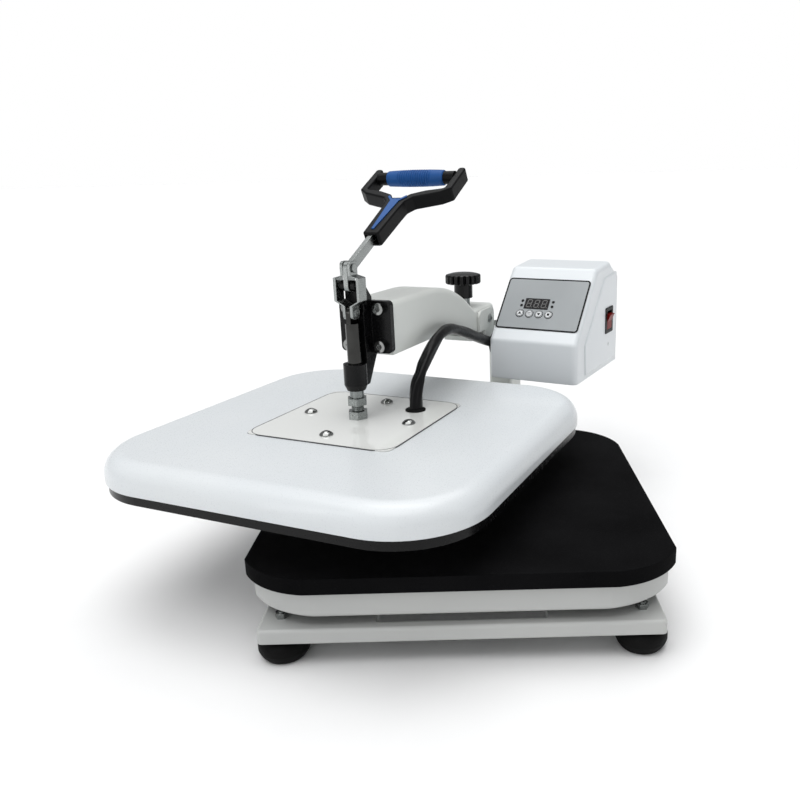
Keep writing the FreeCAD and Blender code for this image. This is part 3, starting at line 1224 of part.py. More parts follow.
def heating_element():
    level_z = plate_top + " + element_radius"
    pieces = []
    for i in range(6):
        x = "(%d - 2.5) * element_pitch" % i
        run = doc.addObject("Part::Cylinder", "Run")
        run.Placement = Placement(Vector(), TURNS["y"])
        tie(run, "Radius", "element_radius")
        tie(run, "Height", "2 * element_reach")
        pieces.append(at(run, x, "-element_reach", level_z))
        if i < 5:
            end = 1 if i % 2 else -1
            bend = doc.addObject("Part::Torus", "Bend")
            bend.Angle3 = 180
            bend.Placement = Placement(Vector(), Rotation(Vector(0, 0, 1), 0 if end > 0 else 180))
            tie(bend, "Radius1", "element_pitch / 2")
            tie(bend, "Radius2", "element_radius")
            pieces.append(at(bend, "(%d - 2) * element_pitch" % i, "element_reach * %d" % end, level_z))
    node("heating_element", arm_place, join(*pieces))
    body = rod("sensor_x", "sensor_y", plate_top, "sensor_radius", "2 * element_radius - 1")
    stem = rod("sensor_x", "sensor_y", "plate_bottom + plate_thickness / 2", "dome_shank",
               "plate_thickness / 2")
    node("temperature_sensor", arm_place, join(body, stem))


# Handle: a forked grip holder on the lever bar, with a turned grip between its legs


def on_handle(*pieces):
    """Pieces given along and across the handle, set on its slope."""
    return set_in(pieces, "0", "0", lever_pivot_z, Vector(1, 0, 0), "handle_angle")


def handle():
    right = [("stem_half_width", "stem_start"), ("stem_half_width + stem_spread", "yoke_start"),
             ("stem_half_width + stem_spread + 1", "yoke_start + 14"),
             ("stem_half_width + 8.8", "yoke_start + 22.5"),
             ("yoke_half_width - 10.5", "yoke_outer - 8.5"), ("yoke_half_width", "yoke_outer"),
             ("yoke_half_width", "leg_end"), ("leg_inner", "leg_end"), ("leg_inner", "yoke_inner"),
             ("leg_inner - 21", "yoke_inner - 4.5"), ("stem_half_width + 2.6", "yoke_dip + 7.3"),
             ("7", "yoke_dip")]
    left = [("-(%s)" % x, s) for x, s in reversed(right)]
    low = "handle_top - handle_depth"
    body = soften(plate(right + left, low, "handle_depth"), "handle_corner", along("z"))
    is_top, is_low = level(sizes["handle_top"]), level(val(low))
    body = soften(body, "handle_round", lambda edge: is_top(edge) or is_low(edge))
    mouth = block("-(stem_half_width - stem_wall)", "stem_start - 1", "-lever_radius",
                  "2 * (stem_half_width - stem_wall)", "stem_mouth + 1", "lever_radius + lever_shank_top")
    slot = block("-lever_half", "stem_start - 1", "-lever_radius", "2 * lever_half",
                 "lever_shank_end - stem_start + 1", "lever_radius + lever_shank_top")
    blind = [rod(x, "grip_place", "grip_rise", "grip_bar_radius", "yoke_half_width - leg_inner - 3", "x")
             for x in ("leg_inner", "-(yoke_half_width - 3)")]
    node("handle", arm_place, on_handle(cut(body, mouth, slot, *blind)))
    half = [("1.5", "inlay_start"), ("5.4", "inlay_end - 4"), ("12", "inlay_end + 4.5"),
            ("10.5", "inlay_end + 7"), ("5", "inlay_end")]
    wedge = half + [("-" + x, s) for x, s in reversed(half)]
    node("handle_inlay", arm_place, on_handle(plate(wedge, "handle_top", "inlay_thickness")))
    crown = "((grip_half_length ^ 2 + (grip_mid_radius - grip_end_radius) ^ 2)" \
            " / (2 * (grip_mid_radius - grip_end_radius)))"
    grip = turned([("grip_bar_radius", "-grip_half_length"), ("grip_end_radius", "-grip_half_length", crown),
                   ("grip_end_radius", "grip_half_length"), ("grip_bar_radius", "grip_half_length")],
                  "0", "grip_place", "grip_rise", "x")
    node("grip", arm_place, on_handle(grip))
    bar = rod("-(yoke_half_width - 3)", "grip_place", "grip_rise", "grip_bar_radius",
              "2 * (yoke_half_width - 3)", "x")
    node("grip_rod", arm_place, on_handle(bar))
    collars = [ring(x, "grip_place", "grip_rise", "grip_bar_radius", "grip_collar_radius",
                    "leg_inner - grip_half_length", "x") for x in ("grip_half_length", "-leg_inner")]
    node("grip_collars", arm_place, on_handle(*collars))


# Control box: folded shell open at the back and below, pan, controller, keys and mains switch

slope_angle = "atan((box_slope_top_z - box_fold) / box_slope_top_y)"
box_right = "box_left + box_width"
key_places = ["key_first + key_pitch * %d" % i for i in range(4)]
bracket_screw_places = [(y, "(bracket_bottom + bracket_top) / 2")
                        for y in ("bracket_front + 8", "bracket_rear - 8")]
lamp_places = [(u, v) for u in ("lamp_left", "lamp_right") for v in ("lamp_high", "lamp_low")]


def on_slope(*pieces):
    return set_in(pieces, "box_left", "0", "box_fold", Vector(1, 0, 0), slope_angle)


def box_profile(inset, over):
    """Side view of the control box, moved inwards by a wall; it runs past the open back and bottom."""
    def surface(y, z, slope):
        return "((%s) - (%s) * %s - (%s) * sqrt(1 + %s ^ 2))" % (z, y, slope, inset, slope)
    front = "((box_slope_top_z - box_fold) / box_slope_top_y)"
    top = "((box_ridge_z - box_slope_top_z) / (box_ridge_y - box_slope_top_y))"
    rear = "((box_back_top - box_ridge_z) / (box_depth - box_ridge_y))"
    front_at = surface("0", "box_fold", front)
    top_at = surface("box_slope_top_y", "box_slope_top_z", top)
    rear_at = surface("box_ridge_y", "box_ridge_z", rear)
    bend = "((%s - %s) / (%s - %s))" % (top_at, front_at, front, top)
    ridge = "((%s - %s) / (%s - %s))" % (rear_at, top_at, top, rear)
    end = "(box_depth + %s)" % over
    return [(inset, "box_bottom - %s" % over), (end, "box_bottom - %s" % over),
            (end, "%s + %s * %s" % (rear_at, end, rear)),
            (ridge, "%s + %s * %s" % (rear_at, ridge, rear)), (bend, "%s + %s * %s" % (top_at, bend, top)),
            (inset, "%s + (%s) * %s" % (front_at, inset, front))]


def box_solid(inset, over, radius):
    body = new_body("Box")
    sketch = new_sketch(body, "yz", "box_left + (%s)" % inset)
    outline(sketch, box_profile(inset, over))
    solid = body.newObject("PartDesign::Pad", "Pad")
    solid.Profile = sketch
    tie(solid, "Length", "box_width - 2 * (%s)" % inset)
    doc.recompute()
    back = val("box_depth + %s" % over)
    floor = val("box_bottom - %s" % over)

    def folded(edge):
        return edge.BoundBox.YMin < back - 0.1 and edge.BoundBox.ZMax > floor + 0.1
    rounded = body.newObject("PartDesign::Fillet", "Fillet")
    rounded.Base = (solid, edge_names(solid.Shape, folded))
    tie(rounded, "Radius", radius)
    return body


def box_shell():
    body = cut(box_solid("0", "0", "box_round"), box_solid("box_wall", "1", "box_round - box_wall"))
    holes = [rod(u, "key_up", "-2 * box_wall", "key_radius + key_gap", "4 * box_wall") for u in key_places]
    holes += [rod(u, v, "-2 * box_wall", "lamp_radius", "4 * box_wall") for u, v in lamp_places]
    holes.append(block("display_left", "display_low", "-2 * box_wall", "display_width", "display_height",
                       "4 * box_wall"))
    sides = [block(box_right + " - 2 * box_wall", "switch_y - switch_body_half_depth",
                   "switch_z - switch_body_half_height", "4 * box_wall", "2 * switch_body_half_depth",
                   "2 * switch_body_half_height"),
             rod("box_left - box_wall", "bush_hole_y", "bush_hole_z", "bush_hole_radius", "3 * box_wall",
                 "x"),
             rod("box_left - box_wall", "side_screw_y", "side_screw_z", "lamp_radius",
                 "box_width + 2 * box_wall", "x")]
    sides += [rod("box_left - box_wall", y, z, "board_post", "3 * box_wall", "x") for y,
              z in bracket_screw_places]
    node("control_box", box_place, cut(body, on_slope(*holes), *sides))


def box_pan():
    inner_left = "box_left + box_wall"
    inner_width = "box_width - 2 * box_wall"
    floor = block(inner_left, "box_wall", "box_bottom", inner_width, "box_depth - box_wall", "pan_thickness")
    floor = soften(floor, "box_round", along("z"))
    back = block("box_left", "box_depth", "box_bottom", "box_width", "pan_thickness",
                 "box_back_top - box_bottom")
    back = soften(back, "box_round", along("y", z_over=sizes["box_back_top"] - 1))
    tabs = [block(x, "side_screw_y - 8", "box_bottom", "pan_thickness", "16", "side_screw_z - box_bottom + 8")
            for x in (inner_left, box_right + " - box_wall - pan_thickness")]
    holes = [rod("box_left", "side_screw_y", "side_screw_z", "lamp_radius", "box_width", "x"),
             rod("gland_x", "box_depth - 1", "gland_z", "gland_radius - 2", "pan_thickness + 2", "y")]
    node("box_pan", box_place, cut(join(floor, back, *tabs), *holes))
    screws = []
    for x, inward in ((box_right, -1), ("box_left", 1)):
        head = rod(x if inward < 0 else "box_left - 1.5", "side_screw_y", "side_screw_z", "board_post", "1.5",
                   "x")
        shank = rod(box_right + " - box_wall - pan_thickness" if inward < 0 else x, "side_screw_y",
                    "side_screw_z", "lamp_radius",
                    "box_wall + pan_thickness", "x")
        screws.append(join(head, shank))
    screws += bracket_screws()
    node("box_screws", box_place, group(*screws))
    gland = turned([("gland_radius - 5", "-6"), ("gland_radius - 2", "-6"),
                    ("gland_radius - 2", "pan_thickness"),
                    ("gland_radius", "pan_thickness"), ("gland_radius", "pan_thickness + 5"),
                    ("gland_radius - 3", "pan_thickness + 12"), ("0", "pan_thickness + 12"),
                    ("0", "pan_thickness + 9"), ("gland_radius - 5", "pan_thickness + 9")],
                   "gland_x", "box_depth", "gland_z", "y")
    node("mains_gland", box_place, gland)


def upright_face(y):
    """Where the gooseneck's upright faces the control box, at a distance behind the swing axis."""
    return "((neck_x + neck_width / 2 - (%s) * sin(box_angle)) / cos(box_angle))" % y


bracket_screw_start = upright_face("bracket_front + 8") + " + 0.6"


def bracket_screws():
    return [join(rod(bracket_screw_start, y, z, "board_post",
                     "box_left + box_wall - (%s) + 1" % bracket_screw_start, "x"),
                 rod("box_left + box_wall", y, z, "2 * board_post", "board_post", "x"))
            for y, z in bracket_screw_places]


def box_bracket():
    wedge = plate([(upright_face("bracket_front"), "bracket_front"), ("box_left", "bracket_front"),
                   ("box_left", "bracket_rear"), (upright_face("bracket_rear"), "bracket_rear")],
                  "bracket_bottom", "bracket_top - bracket_bottom")
    holes = [rod(bracket_screw_start, y, z, "board_post", "8", "x") for y, z in bracket_screw_places]
    node("box_bracket", box_place, cut(wedge, *holes))


def controller():
    full = rounded_box("label_margin", "box_width - label_margin", "label_low", "label_high", "label_corner")
    inner = rounded_box("label_margin + label_border", "box_width - label_margin - label_border",
                        "label_low + label_border", "label_high - label_border",
                        "label_corner - label_border")
    border = cut(plate(full, "0", "label_thickness"), plate(inner, "0", "label_thickness"))
    node("label_border", box_place, on_slope(border))
    openings = [rod(u, "key_up", "-1", "key_radius + key_gap", "3") for u in key_places]
    openings += [rod(u, v, "-1", "lamp_radius", "3") for u, v in lamp_places]
    openings.append(block("display_left", "display_low", "-1", "display_width", "display_height", "3"))
    node("label", box_place, on_slope(cut(plate(inner, "0", "label_thickness"), *openings)))
    window = block("display_left", "display_low", "-board_depth", "display_width", "display_height",
                   "board_depth + label_thickness + window_proud")
    lamps = [rod(u, v, "-board_depth", "lamp_radius", "board_depth + label_thickness + lamp_proud")
             for u, v in lamp_places]
    node("display_and_lamps", box_place, on_slope(window, *lamps))
    board = block("key_first - board_margin", "key_up - board_below", "-board_depth - board_thickness",
                  "key_pitch * 3 + 2 * board_margin",
                  "display_low + display_height - key_up + board_below + board_above", "board_thickness")
    post_reach = "(board_margin - board_post_inset)"
    post_places = [(u, v) for u in ("key_first - " + post_reach, "key_first + 3 * key_pitch + " + post_reach)
                   for v in ("key_up - board_below + board_post_inset",
                             "display_low + display_height + board_post_rise")]
    posts = [rod(u, v, "-board_depth", "board_post", "board_depth - box_wall") for u, v in post_places]
    contacts = [rod(u, "key_up", "-board_depth", "board_post", "board_depth - 2 * box_wall + 0.1")
                for u in key_places]
    node("circuit_board", box_place, on_slope(join(board, *posts, *contacts)))
    for i, u in enumerate(key_places):
        cap = rod(u, "key_up", "-key_stem", "key_radius", "key_stem + label_thickness + key_proud")
        flange = rod(u, "key_up", "-key_stem", "key_flange", "key_flange_thickness")
        node("key_%s" % ("up", "mode", "down", "set")[i], box_place, on_slope(join(cap, flange)))
    relay = block("box_left + relay_left", "box_depth - relay_front", "box_bottom + pan_thickness",
                  "relay_side",
                  "relay_side", "relay_height")
    node("heater_relay", box_place, soften(relay, "bracket_fillet", along("z")))


def mains_switch():
    face = box_right + " + bezel_thickness"
    bezel = block(box_right, "switch_y - switch_half_depth", "switch_z - switch_half_height",
                  "bezel_thickness",
                  "2 * switch_half_depth", "2 * switch_half_height")
    bezel = soften(bezel, "bezel_corner", along("x"))
    body = block(box_right + " - switch_body_depth", "switch_y - switch_body_half_depth",
                 "switch_z - switch_body_half_height", "switch_body_depth + 1", "2 * switch_body_half_depth",
                 "2 * switch_body_half_height")
    cavity = block(face + " - rocker_pivot_depth - 5", "switch_y - rocker_half_depth - rocker_gap",
                   "switch_z - rocker_opening", "20", "2 * (rocker_half_depth + rocker_gap)",
                   "2 * rocker_opening")
    axle_hole = rod(face + " - rocker_pivot_depth", "switch_y - rocker_half_depth - 1.5", "switch_z",
                    "rocker_axle + running_gap", "2 * rocker_half_depth + 3", "y")
    node("switch_housing", box_place, cut(join(bezel, body), cavity, axle_hole))
    end_x = "(rocker_face + rocker_half_height * sin(rocker_tilt))"
    end_z = "(rocker_half_height * cos(rocker_tilt))"
    body = new_body("Rocker")
    sketch = new_sketch(body, "xz")
    outline(sketch, [("rocker_face", "0"), (end_x, end_z), ("3", "rocker_half_height - 1"), ("-2", "4"),
                     ("-2", "-4"),
                     ("3", "-(rocker_half_height - 1)"), (end_x, "-" + end_z)])
    made = body.newObject("PartDesign::Pad", "Pad")
    made.Profile = sketch
    made.Midplane = True
    tie(made, "Length", "2 * rocker_half_depth")
    axle = rod("0", "-rocker_half_depth - 1.2", "0", "rocker_axle", "2 * rocker_half_depth + 2.4", "y")
    node("rocker", box_place, set_in([join(body, axle)], face + " - rocker_pivot_depth", "switch_y",
                                     "switch_z",
                                     Vector(0, 1, 0), "rocker_tilt"))


# Cable sleeve from the heating platen to the control box, with its grommet and bush


def cable():
    corners = [Vector(*[val("route_%s_%s" % (mark, axis)) for axis in "xyz"]) for mark in "abcdefghi"]
    for corner in corners[-3:]:
        corner.y += sizes["reach"]
    sleeve = doc.addObject("Part::Feature", "Sleeve")
    sleeve.Shape = tube(corners, sizes["cable_radius"], sizes["cable_bend_share"])
    node("cable", arm_place, sleeve)
    grommet = turned([("cable_radius", "0"), ("grommet_radius", "0"),
                      ("grommet_radius", "top_plate_thickness"),
                      ("grommet_flange", "top_plate_thickness"),
                      ("grommet_flange", "top_plate_thickness + grommet_proud / 2"),
                      ("grommet_radius", "top_plate_thickness + grommet_proud"),
                      ("cable_radius", "top_plate_thickness + grommet_proud")],
                     "route_a_x", "route_a_y", cover_under)
    node("cable_grommet", arm_place, grommet)
    bush = turned([("0", "-bush_flange"), ("bush_hole_radius + bush_flange", "-bush_flange"),
                   ("bush_hole_radius + bush_flange", "0"), ("bush_hole_radius", "0"),
                   ("bush_hole_radius", "box_wall + bush_flange"), ("0", "box_wall + bush_flange")],
                  "box_left", "bush_hole_y", "bush_hole_z", "x")
    turn = FreeCAD.Rotation(Vector(0, 0, 1), sizes["box_angle"])
    axis = Vector(0, sizes["reach"], 0)
    bore = doc.addObject("Part::Feature", "Bore")
    bore.Shape = tube([turn.multVec(corner - axis) for corner in corners[-3:]],
                      sizes["cable_radius"] + sizes["running_gap"], sizes["cable_bend_share"])
    node("cable_bush", box_place, cut(bush, bore))


base_frame()
feet()
lower_platen()
swing_post()
swing_hub()
saddle()
arm()
clamp_casting()
clamp_bolts()
pressure_knob()
toggle()
plunger()
heating_platen()
heating_element()
handle()
box_shell()
box_pan()
box_bracket()
controller()
mains_switch()
cable()
doc.recompute()

faulty = [made.Name for made in doc.Objects if "Invalid" in made.State or "Error" in made.State]
faulty += [made.Label for made in nodes if made.Shape.isNull() or not made.Shape.isValid()]
if faulty:
    raise RuntimeError("not built: " + ", ".join(faulty))
for made in nodes:
    made.Shape.exportStep("parts/%s.step" % made.Label)
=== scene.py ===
import json
import math

import bmesh
import bpy
from mathutils import Matrix, Vector


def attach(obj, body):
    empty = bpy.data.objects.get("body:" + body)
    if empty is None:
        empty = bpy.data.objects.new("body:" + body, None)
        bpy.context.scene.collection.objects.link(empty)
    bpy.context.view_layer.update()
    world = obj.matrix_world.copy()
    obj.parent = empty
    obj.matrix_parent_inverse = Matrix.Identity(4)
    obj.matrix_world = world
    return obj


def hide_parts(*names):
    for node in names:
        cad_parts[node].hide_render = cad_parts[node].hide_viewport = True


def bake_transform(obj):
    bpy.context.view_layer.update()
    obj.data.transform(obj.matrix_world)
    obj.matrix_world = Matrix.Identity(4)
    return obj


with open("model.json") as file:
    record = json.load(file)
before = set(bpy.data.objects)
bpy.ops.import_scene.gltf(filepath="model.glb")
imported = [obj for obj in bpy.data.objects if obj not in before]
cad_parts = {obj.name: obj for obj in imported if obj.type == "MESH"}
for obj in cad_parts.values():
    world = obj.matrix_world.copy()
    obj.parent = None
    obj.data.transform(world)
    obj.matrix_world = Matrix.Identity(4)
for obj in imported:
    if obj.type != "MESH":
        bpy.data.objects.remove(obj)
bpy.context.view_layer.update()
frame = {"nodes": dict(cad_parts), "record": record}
nodes = frame["nodes"]

# The press's own frames, in metres: the arm as it is swung in the photograph, the control box, its sloping
# face and the lever's handle

PAD = Vector((0.06355, -0.0808, 0))
REACH = 0.2593  # from the middle of the pad back to the swing axis
AXIS = PAD + Vector((0, REACH, 0))
ARM_TURN = math.radians(-24.42)
BOX_TURN = math.radians(-28.22)
SLOPE_START = (0.043, 0, 0.195)  # lower left end of the sloping face, in the control box's frame
SLOPE_RISE = math.atan2(0.086, 0.075)
LINK_PIVOT_HEIGHT = 0.3166
HANDLE_LEAN = math.radians(28)
ARM = Matrix.Translation(AXIS) @ Matrix.Rotation(ARM_TURN, 4, "Z") @ Matrix.Translation((0, -REACH, 0))
BOX = Matrix.Translation(AXIS) @ Matrix.Rotation(BOX_TURN, 4, "Z")
FACE = BOX @ Matrix.Translation(SLOPE_START) @ Matrix.Rotation(SLOPE_RISE, 4, "X")
HANDLE = ARM @ Matrix.Translation((0, 0, LINK_PIVOT_HEIGHT)) @ Matrix.Rotation(HANDLE_LEAN, 4, "X")

# Materials: each has its colour, gloss and relief from noise in the object's own space

EDGE_ROUND = 0.0007
EDGE_SAMPLES = 6
PATCH_DETAIL = 3.0
PATCH_RANGE = (0.3, 0.7)  # part of the patches' noise that runs from the dark to the light colour
GRAIN_RANGE = (0.25, 0.75)  # part of the grain's noise that runs from the low to the high roughness
COAT_ROUGHNESS = 0.08


def noise(tree, place, scale, detail, stretch=None):
    made = tree.nodes.new("ShaderNodeTexNoise")
    made.inputs["Scale"].default_value = scale
    made.inputs["Detail"].default_value = detail
    if stretch:
        mapping = tree.nodes.new("ShaderNodeMapping")
        mapping.inputs["Scale"].default_value = stretch
        tree.links.new(place, mapping.inputs["Vector"])
        place = mapping.outputs["Vector"]
    tree.links.new(place, made.inputs["Vector"])
    return made.outputs["Fac"]


def colour_between(tree, source, dark, light):
    ramp = tree.nodes.new("ShaderNodeValToRGB")
    for stop, position, colour in zip(ramp.color_ramp.elements, PATCH_RANGE, (dark, light)):
        stop.position = position
        stop.color = (*colour, 1)
    tree.links.new(source, ramp.inputs["Fac"])
    return ramp.outputs["Color"]


def number_between(tree, source, low, high):
    ranged = tree.nodes.new("ShaderNodeMapRange")
    for key, number in zip(("From Min", "From Max", "To Min", "To Max"), (*GRAIN_RANGE, low, high)):
        ranged.inputs[key].default_value = number
    tree.links.new(source, ranged.inputs["Value"])
    return ranged.outputs["Result"]


def finish_material(name, dark, light, rough, grain, relief, metal=0.0, patch=9.0, stretch=None, coat=0.0,
                    specular=0.5, detail=2.0, edge=EDGE_ROUND):
    """A surface whose colour runs from dark to light in soft patches, with a range of roughness, a fine
    relief, given by its strength and depth, and slightly rounded edges."""
    made = bpy.data.materials.new(name)
    made.use_nodes = True
    tree = made.node_tree
    shader = tree.nodes["Principled BSDF"]
    place = tree.nodes.new("ShaderNodeTexCoord").outputs["Object"]
    patches = noise(tree, place, patch, PATCH_DETAIL)
    fine = noise(tree, place, grain, detail, stretch)
    tree.links.new(colour_between(tree, patches, dark, light), shader.inputs["Base Color"])
    tree.links.new(number_between(tree, fine, *rough), shader.inputs["Roughness"])
    bump = tree.nodes.new("ShaderNodeBump")
    bump.inputs["Strength"].default_value = relief[0]
    bump.inputs["Distance"].default_value = relief[1]
    tree.links.new(fine, bump.inputs["Height"])
    if edge:
        rounded = tree.nodes.new("ShaderNodeBevel")
        rounded.samples = EDGE_SAMPLES
        rounded.inputs["Radius"].default_value = edge
        tree.links.new(rounded.outputs["Normal"], bump.inputs["Normal"])
    tree.links.new(bump.outputs["Normal"], shader.inputs["Normal"])
    shader.inputs["Metallic"].default_value = metal
    shader.inputs["Specular IOR Level"].default_value = specular
    shader.inputs["Coat Weight"].default_value = coat
    shader.inputs["Coat Roughness"].default_value = COAT_ROUGHNESS
    return made


FINISHES = {
    "enamel_white": dict(dark=(0.65, 0.68, 0.70), light=(0.68, 0.705, 0.72), rough=(0.26, 0.32),
                         grain=900, relief=(0.04, 0.0002), coat=0.2, edge=0.0012),
    # frame_white: the frame's own off-white, darkened further as painted shade because its low parts get little
    # light from below
    "frame_white": dict(dark=(0.44, 0.448, 0.44), light=(0.48, 0.487, 0.475), rough=(0.34, 0.46),
                        grain=1100, relief=(0.06, 0.0002), edge=0.001),
    "cast_black": dict(dark=(0.0015, 0.0015, 0.0018), light=(0.003, 0.003, 0.0033), rough=(0.20, 0.30),
                       grain=260, relief=(0.10, 0.0002), specular=0.2),
    "zinc_steel": dict(dark=(0.24, 0.255, 0.25), light=(0.34, 0.355, 0.35), rough=(0.22, 0.30),
                       grain=500, relief=(0.05, 0.0002), metal=1.0, patch=25),
    # bright_rod: a near-black metal colour, a painted dark reflection, so the polished rod looks as if it
    # mirrored dark surroundings
    "bright_rod": dict(dark=(0.030, 0.030, 0.029), light=(0.055, 0.055, 0.053), rough=(0.07, 0.11),
                       grain=500, relief=(0.03, 0.0001), metal=1.0, patch=40),
    "foot_rubber": dict(dark=(0.0025, 0.0025, 0.0025), light=(0.005, 0.005, 0.005), rough=(0.5, 0.7),
                        grain=700, relief=(0.25, 0.0003), specular=0.1),
    "foam_black": dict(dark=(0.002, 0.002, 0.0023), light=(0.005, 0.005, 0.0055), rough=(0.80, 0.95),
                       grain=650, relief=(0.5, 0.0006), detail=6.0, specular=0.05, patch=14),
    "plastic_black": dict(dark=(0.0018, 0.0018, 0.002), light=(0.0035, 0.0035, 0.004),
                          rough=(0.34, 0.48), grain=1300, relief=(0.12, 0.0002), specular=0.12,
                          edge=0.001),
    "grip_blue": dict(dark=(0.007, 0.066, 0.24), light=(0.010, 0.083, 0.29), rough=(0.45, 0.6),
                      grain=1200, relief=(0.2, 0.0002), specular=0.25),
    "inlay_blue": dict(dark=(0.005, 0.070, 0.26), light=(0.006, 0.082, 0.30), rough=(0.34, 0.44),
                       grain=900, relief=(0.1, 0.0001), specular=0.3),
    "plate_aluminium": dict(dark=(0.50, 0.50, 0.50), light=(0.6, 0.6, 0.6), rough=(0.3, 0.5), grain=500,
                            relief=(0.1, 0.0001), metal=1.0, stretch=(1, 12, 12)),
    "bush_bronze": dict(dark=(0.42, 0.27, 0.12), light=(0.5, 0.34, 0.16), rough=(0.3, 0.45), grain=600,
                        relief=(0.1, 0.0001), metal=1.0),
    "felt": dict(dark=(0.55, 0.52, 0.42), light=(0.65, 0.62, 0.5), rough=(0.8, 0.95), grain=900,
                 relief=(0.5, 0.0006)),
    "sleeve_black": dict(dark=(0.0015, 0.0015, 0.002), light=(0.0035, 0.0035, 0.004),
                         rough=(0.26, 0.42), grain=170, relief=(0.5, 0.0008), patch=30, specular=0.2,
                         detail=5.0, edge=0),
    "label_silver": dict(dark=(0.29, 0.31, 0.32), light=(0.34, 0.36, 0.37), rough=(0.34, 0.42),
                         grain=1500, relief=(0.05, 0.0001)),
    "print_black": dict(dark=(0.002, 0.002, 0.0025), light=(0.004, 0.004, 0.0045), rough=(0.22, 0.32),
                        grain=900, relief=(0.05, 0.0001), specular=0.15),
    "key_grey": dict(dark=(0.66, 0.68, 0.69), light=(0.72, 0.735, 0.74), rough=(0.34, 0.42), grain=1500,
                     relief=(0.05, 0.0001)),
    "rocker_red": dict(dark=(0.16, 0.006, 0.005), light=(0.22, 0.009, 0.007), rough=(0.30, 0.40),
                       grain=700, relief=(0.05, 0.0001), specular=0.1),
    "board_green": dict(dark=(0.02, 0.12, 0.05), light=(0.03, 0.16, 0.07), rough=(0.35, 0.5), grain=900,
                        relief=(0.1, 0.0001)),
    "plate_white": dict(dark=(0.80, 0.81, 0.79), light=(0.82, 0.83, 0.81), rough=(0.06, 0.10),
                        grain=900, relief=(0.015, 0.0001), coat=1.0),
    "arm_white": dict(dark=(0.68, 0.70, 0.67), light=(0.71, 0.728, 0.698), rough=(0.28, 0.36),
                      grain=900, relief=(0.04, 0.0002), coat=0.15, edge=0.0014),
    "box_white": dict(dark=(0.72, 0.755, 0.78), light=(0.745, 0.775, 0.795), rough=(0.28, 0.34),
                      grain=900, relief=(0.04, 0.0002), coat=0.15, edge=0.0016),
    "screw_chrome": dict(dark=(0.22, 0.225, 0.22), light=(0.30, 0.305, 0.30), rough=(0.06, 0.10),
                         grain=600, relief=(0.02, 0.0001), metal=1.0, patch=30),
    "knob_black": dict(dark=(0.0015, 0.0015, 0.0018), light=(0.003, 0.003, 0.0033), rough=(0.20, 0.28),
                       grain=900, relief=(0.08, 0.0002), specular=0.25, edge=0.001),
    # Painted shade for the gap round the top plate
    "gap_shade_grey": dict(dark=(0.06, 0.062, 0.064), light=(0.10, 0.102, 0.105), rough=(0.5, 0.6),
                      grain=900, relief=(0.02, 0.0001)),
    "digit_grey": dict(dark=(0.15, 0.15, 0.145), light=(0.19, 0.19, 0.185), rough=(0.4, 0.5), grain=900,
                       relief=(0.02, 0.0001)),
    "floor_pale": dict(dark=(0.85, 0.85, 0.85), light=(0.87, 0.87, 0.87), rough=(0.7, 0.8), grain=40,
                       relief=(0.02, 0.0002), edge=0),
}
materials = {name: finish_material(name, **finish) for name, finish in FINISHES.items()}

# Nodes that look a little different from the other nodes of their slot
LOOKS = {"top_plate": "plate_white", "arm": "arm_white", "saddle": "arm_white", "swing_hub": "arm_white",
         "control_box": "box_white", "dome_screws": "screw_chrome", "clamp_bolts": "screw_chrome"}
for row in frame["record"]["subparts"]:
    mesh = nodes[row["node"]].data
    mesh.materials.clear()
    mesh.materials.append(materials[LOOKS.get(row["node"], row["material_slot"])])

# Helpers for the pieces made here


def piece(name, mesh, body, slot_name, replaced=(), smooth=False, look=None):
    made = bpy.data.objects.new(name, mesh)
    bpy.context.scene.collection.objects.link(made)
    mesh.materials.clear()
    mesh.materials.append(materials[look or slot_name])
    if smooth:
        for face in mesh.polygons:
            face.use_smooth = True
    if body:
        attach(made, body)
    if replaced:
        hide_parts(*replaced)
    return made


def mesh_from(name, build):
    mesh = bpy.data.meshes.new(name)
    bm = bmesh.new()
    build(bm)
    bmesh.ops.recalc_face_normals(bm, faces=bm.faces)
    bm.to_mesh(mesh)
    bm.free()
    return mesh


def vertices(bm, place, points):
    """Vertices for points given in one of the press's frames."""
    return [bm.verts.new(place @ Vector(point)) for point in points]


def circle(radius, height, steps, x=0, y=0):
    turns = [2 * math.pi * i / steps for i in range(steps)]
    return [(x + radius * math.cos(turn), y + radius * math.sin(turn), height) for turn in turns]


def band(bm, low, high):
    """Quads between two closed rows of vertices."""
    for i in range(len(low)):
        j = (i + 1) % len(low)
        bm.faces.new((low[i], low[j], high[j], high[i]))


def skin(bm, rows):
    """A solid from closed rows of vertices, with a flat cap at each end."""
    for low, high in zip(rows, rows[1:]):
        band(bm, low, high)
    bm.faces.new(rows[0])
    bm.faces.new(list(reversed(rows[-1])))


def hoop(bm, rows):
    """A ring whose section has a corner for each closed row of vertices."""
    for low, high in zip(rows, rows[1:] + rows[:1]):
        band(bm, low, high)


# Foam pad: the CAD outline with soft edges

FOAM_EDGE = 0.0016
FOAM_EDGE_STEPS = 4
FOAM_EDGE_ANGLE = math.radians(60)  # sharper edges than this are rounded
foam = piece("foam_pad_soft", nodes["foam_pad"].data.copy(), "base", "foam_black", ("foam_pad",))
edge_round = foam.modifiers.new("edge_round", "BEVEL")
edge_round.width = FOAM_EDGE
edge_round.segments = FOAM_EDGE_STEPS
edge_round.limit_method = "ANGLE"
edge_round.angle_limit = FOAM_EDGE_ANGLE

# Cable sleeve from the heating platen to the control box; its middle line is in the arm's frame, in millimetres

ROUTE = [(44.8, 44.9, 150), (44.8, 44.9, 177), (44.5, 66, 203), (42.5, 104, 226), (40, 143, 231),
         (38, 184, 219.5), (36.3, 226, 204.5), (36.3, 270.5, 188.6), (58, 285.5, 181.1)]
LINE_STEPS = 16
CABLE_RADIUS = 0.0065
SLEEVE_SIDES = 40

# The sleeve's lower part is slack: it is wider there and its folds are deeper
SLACK_END = 0.085
SLACK_FADE = 0.012
SLACK_SWELL = 0.09

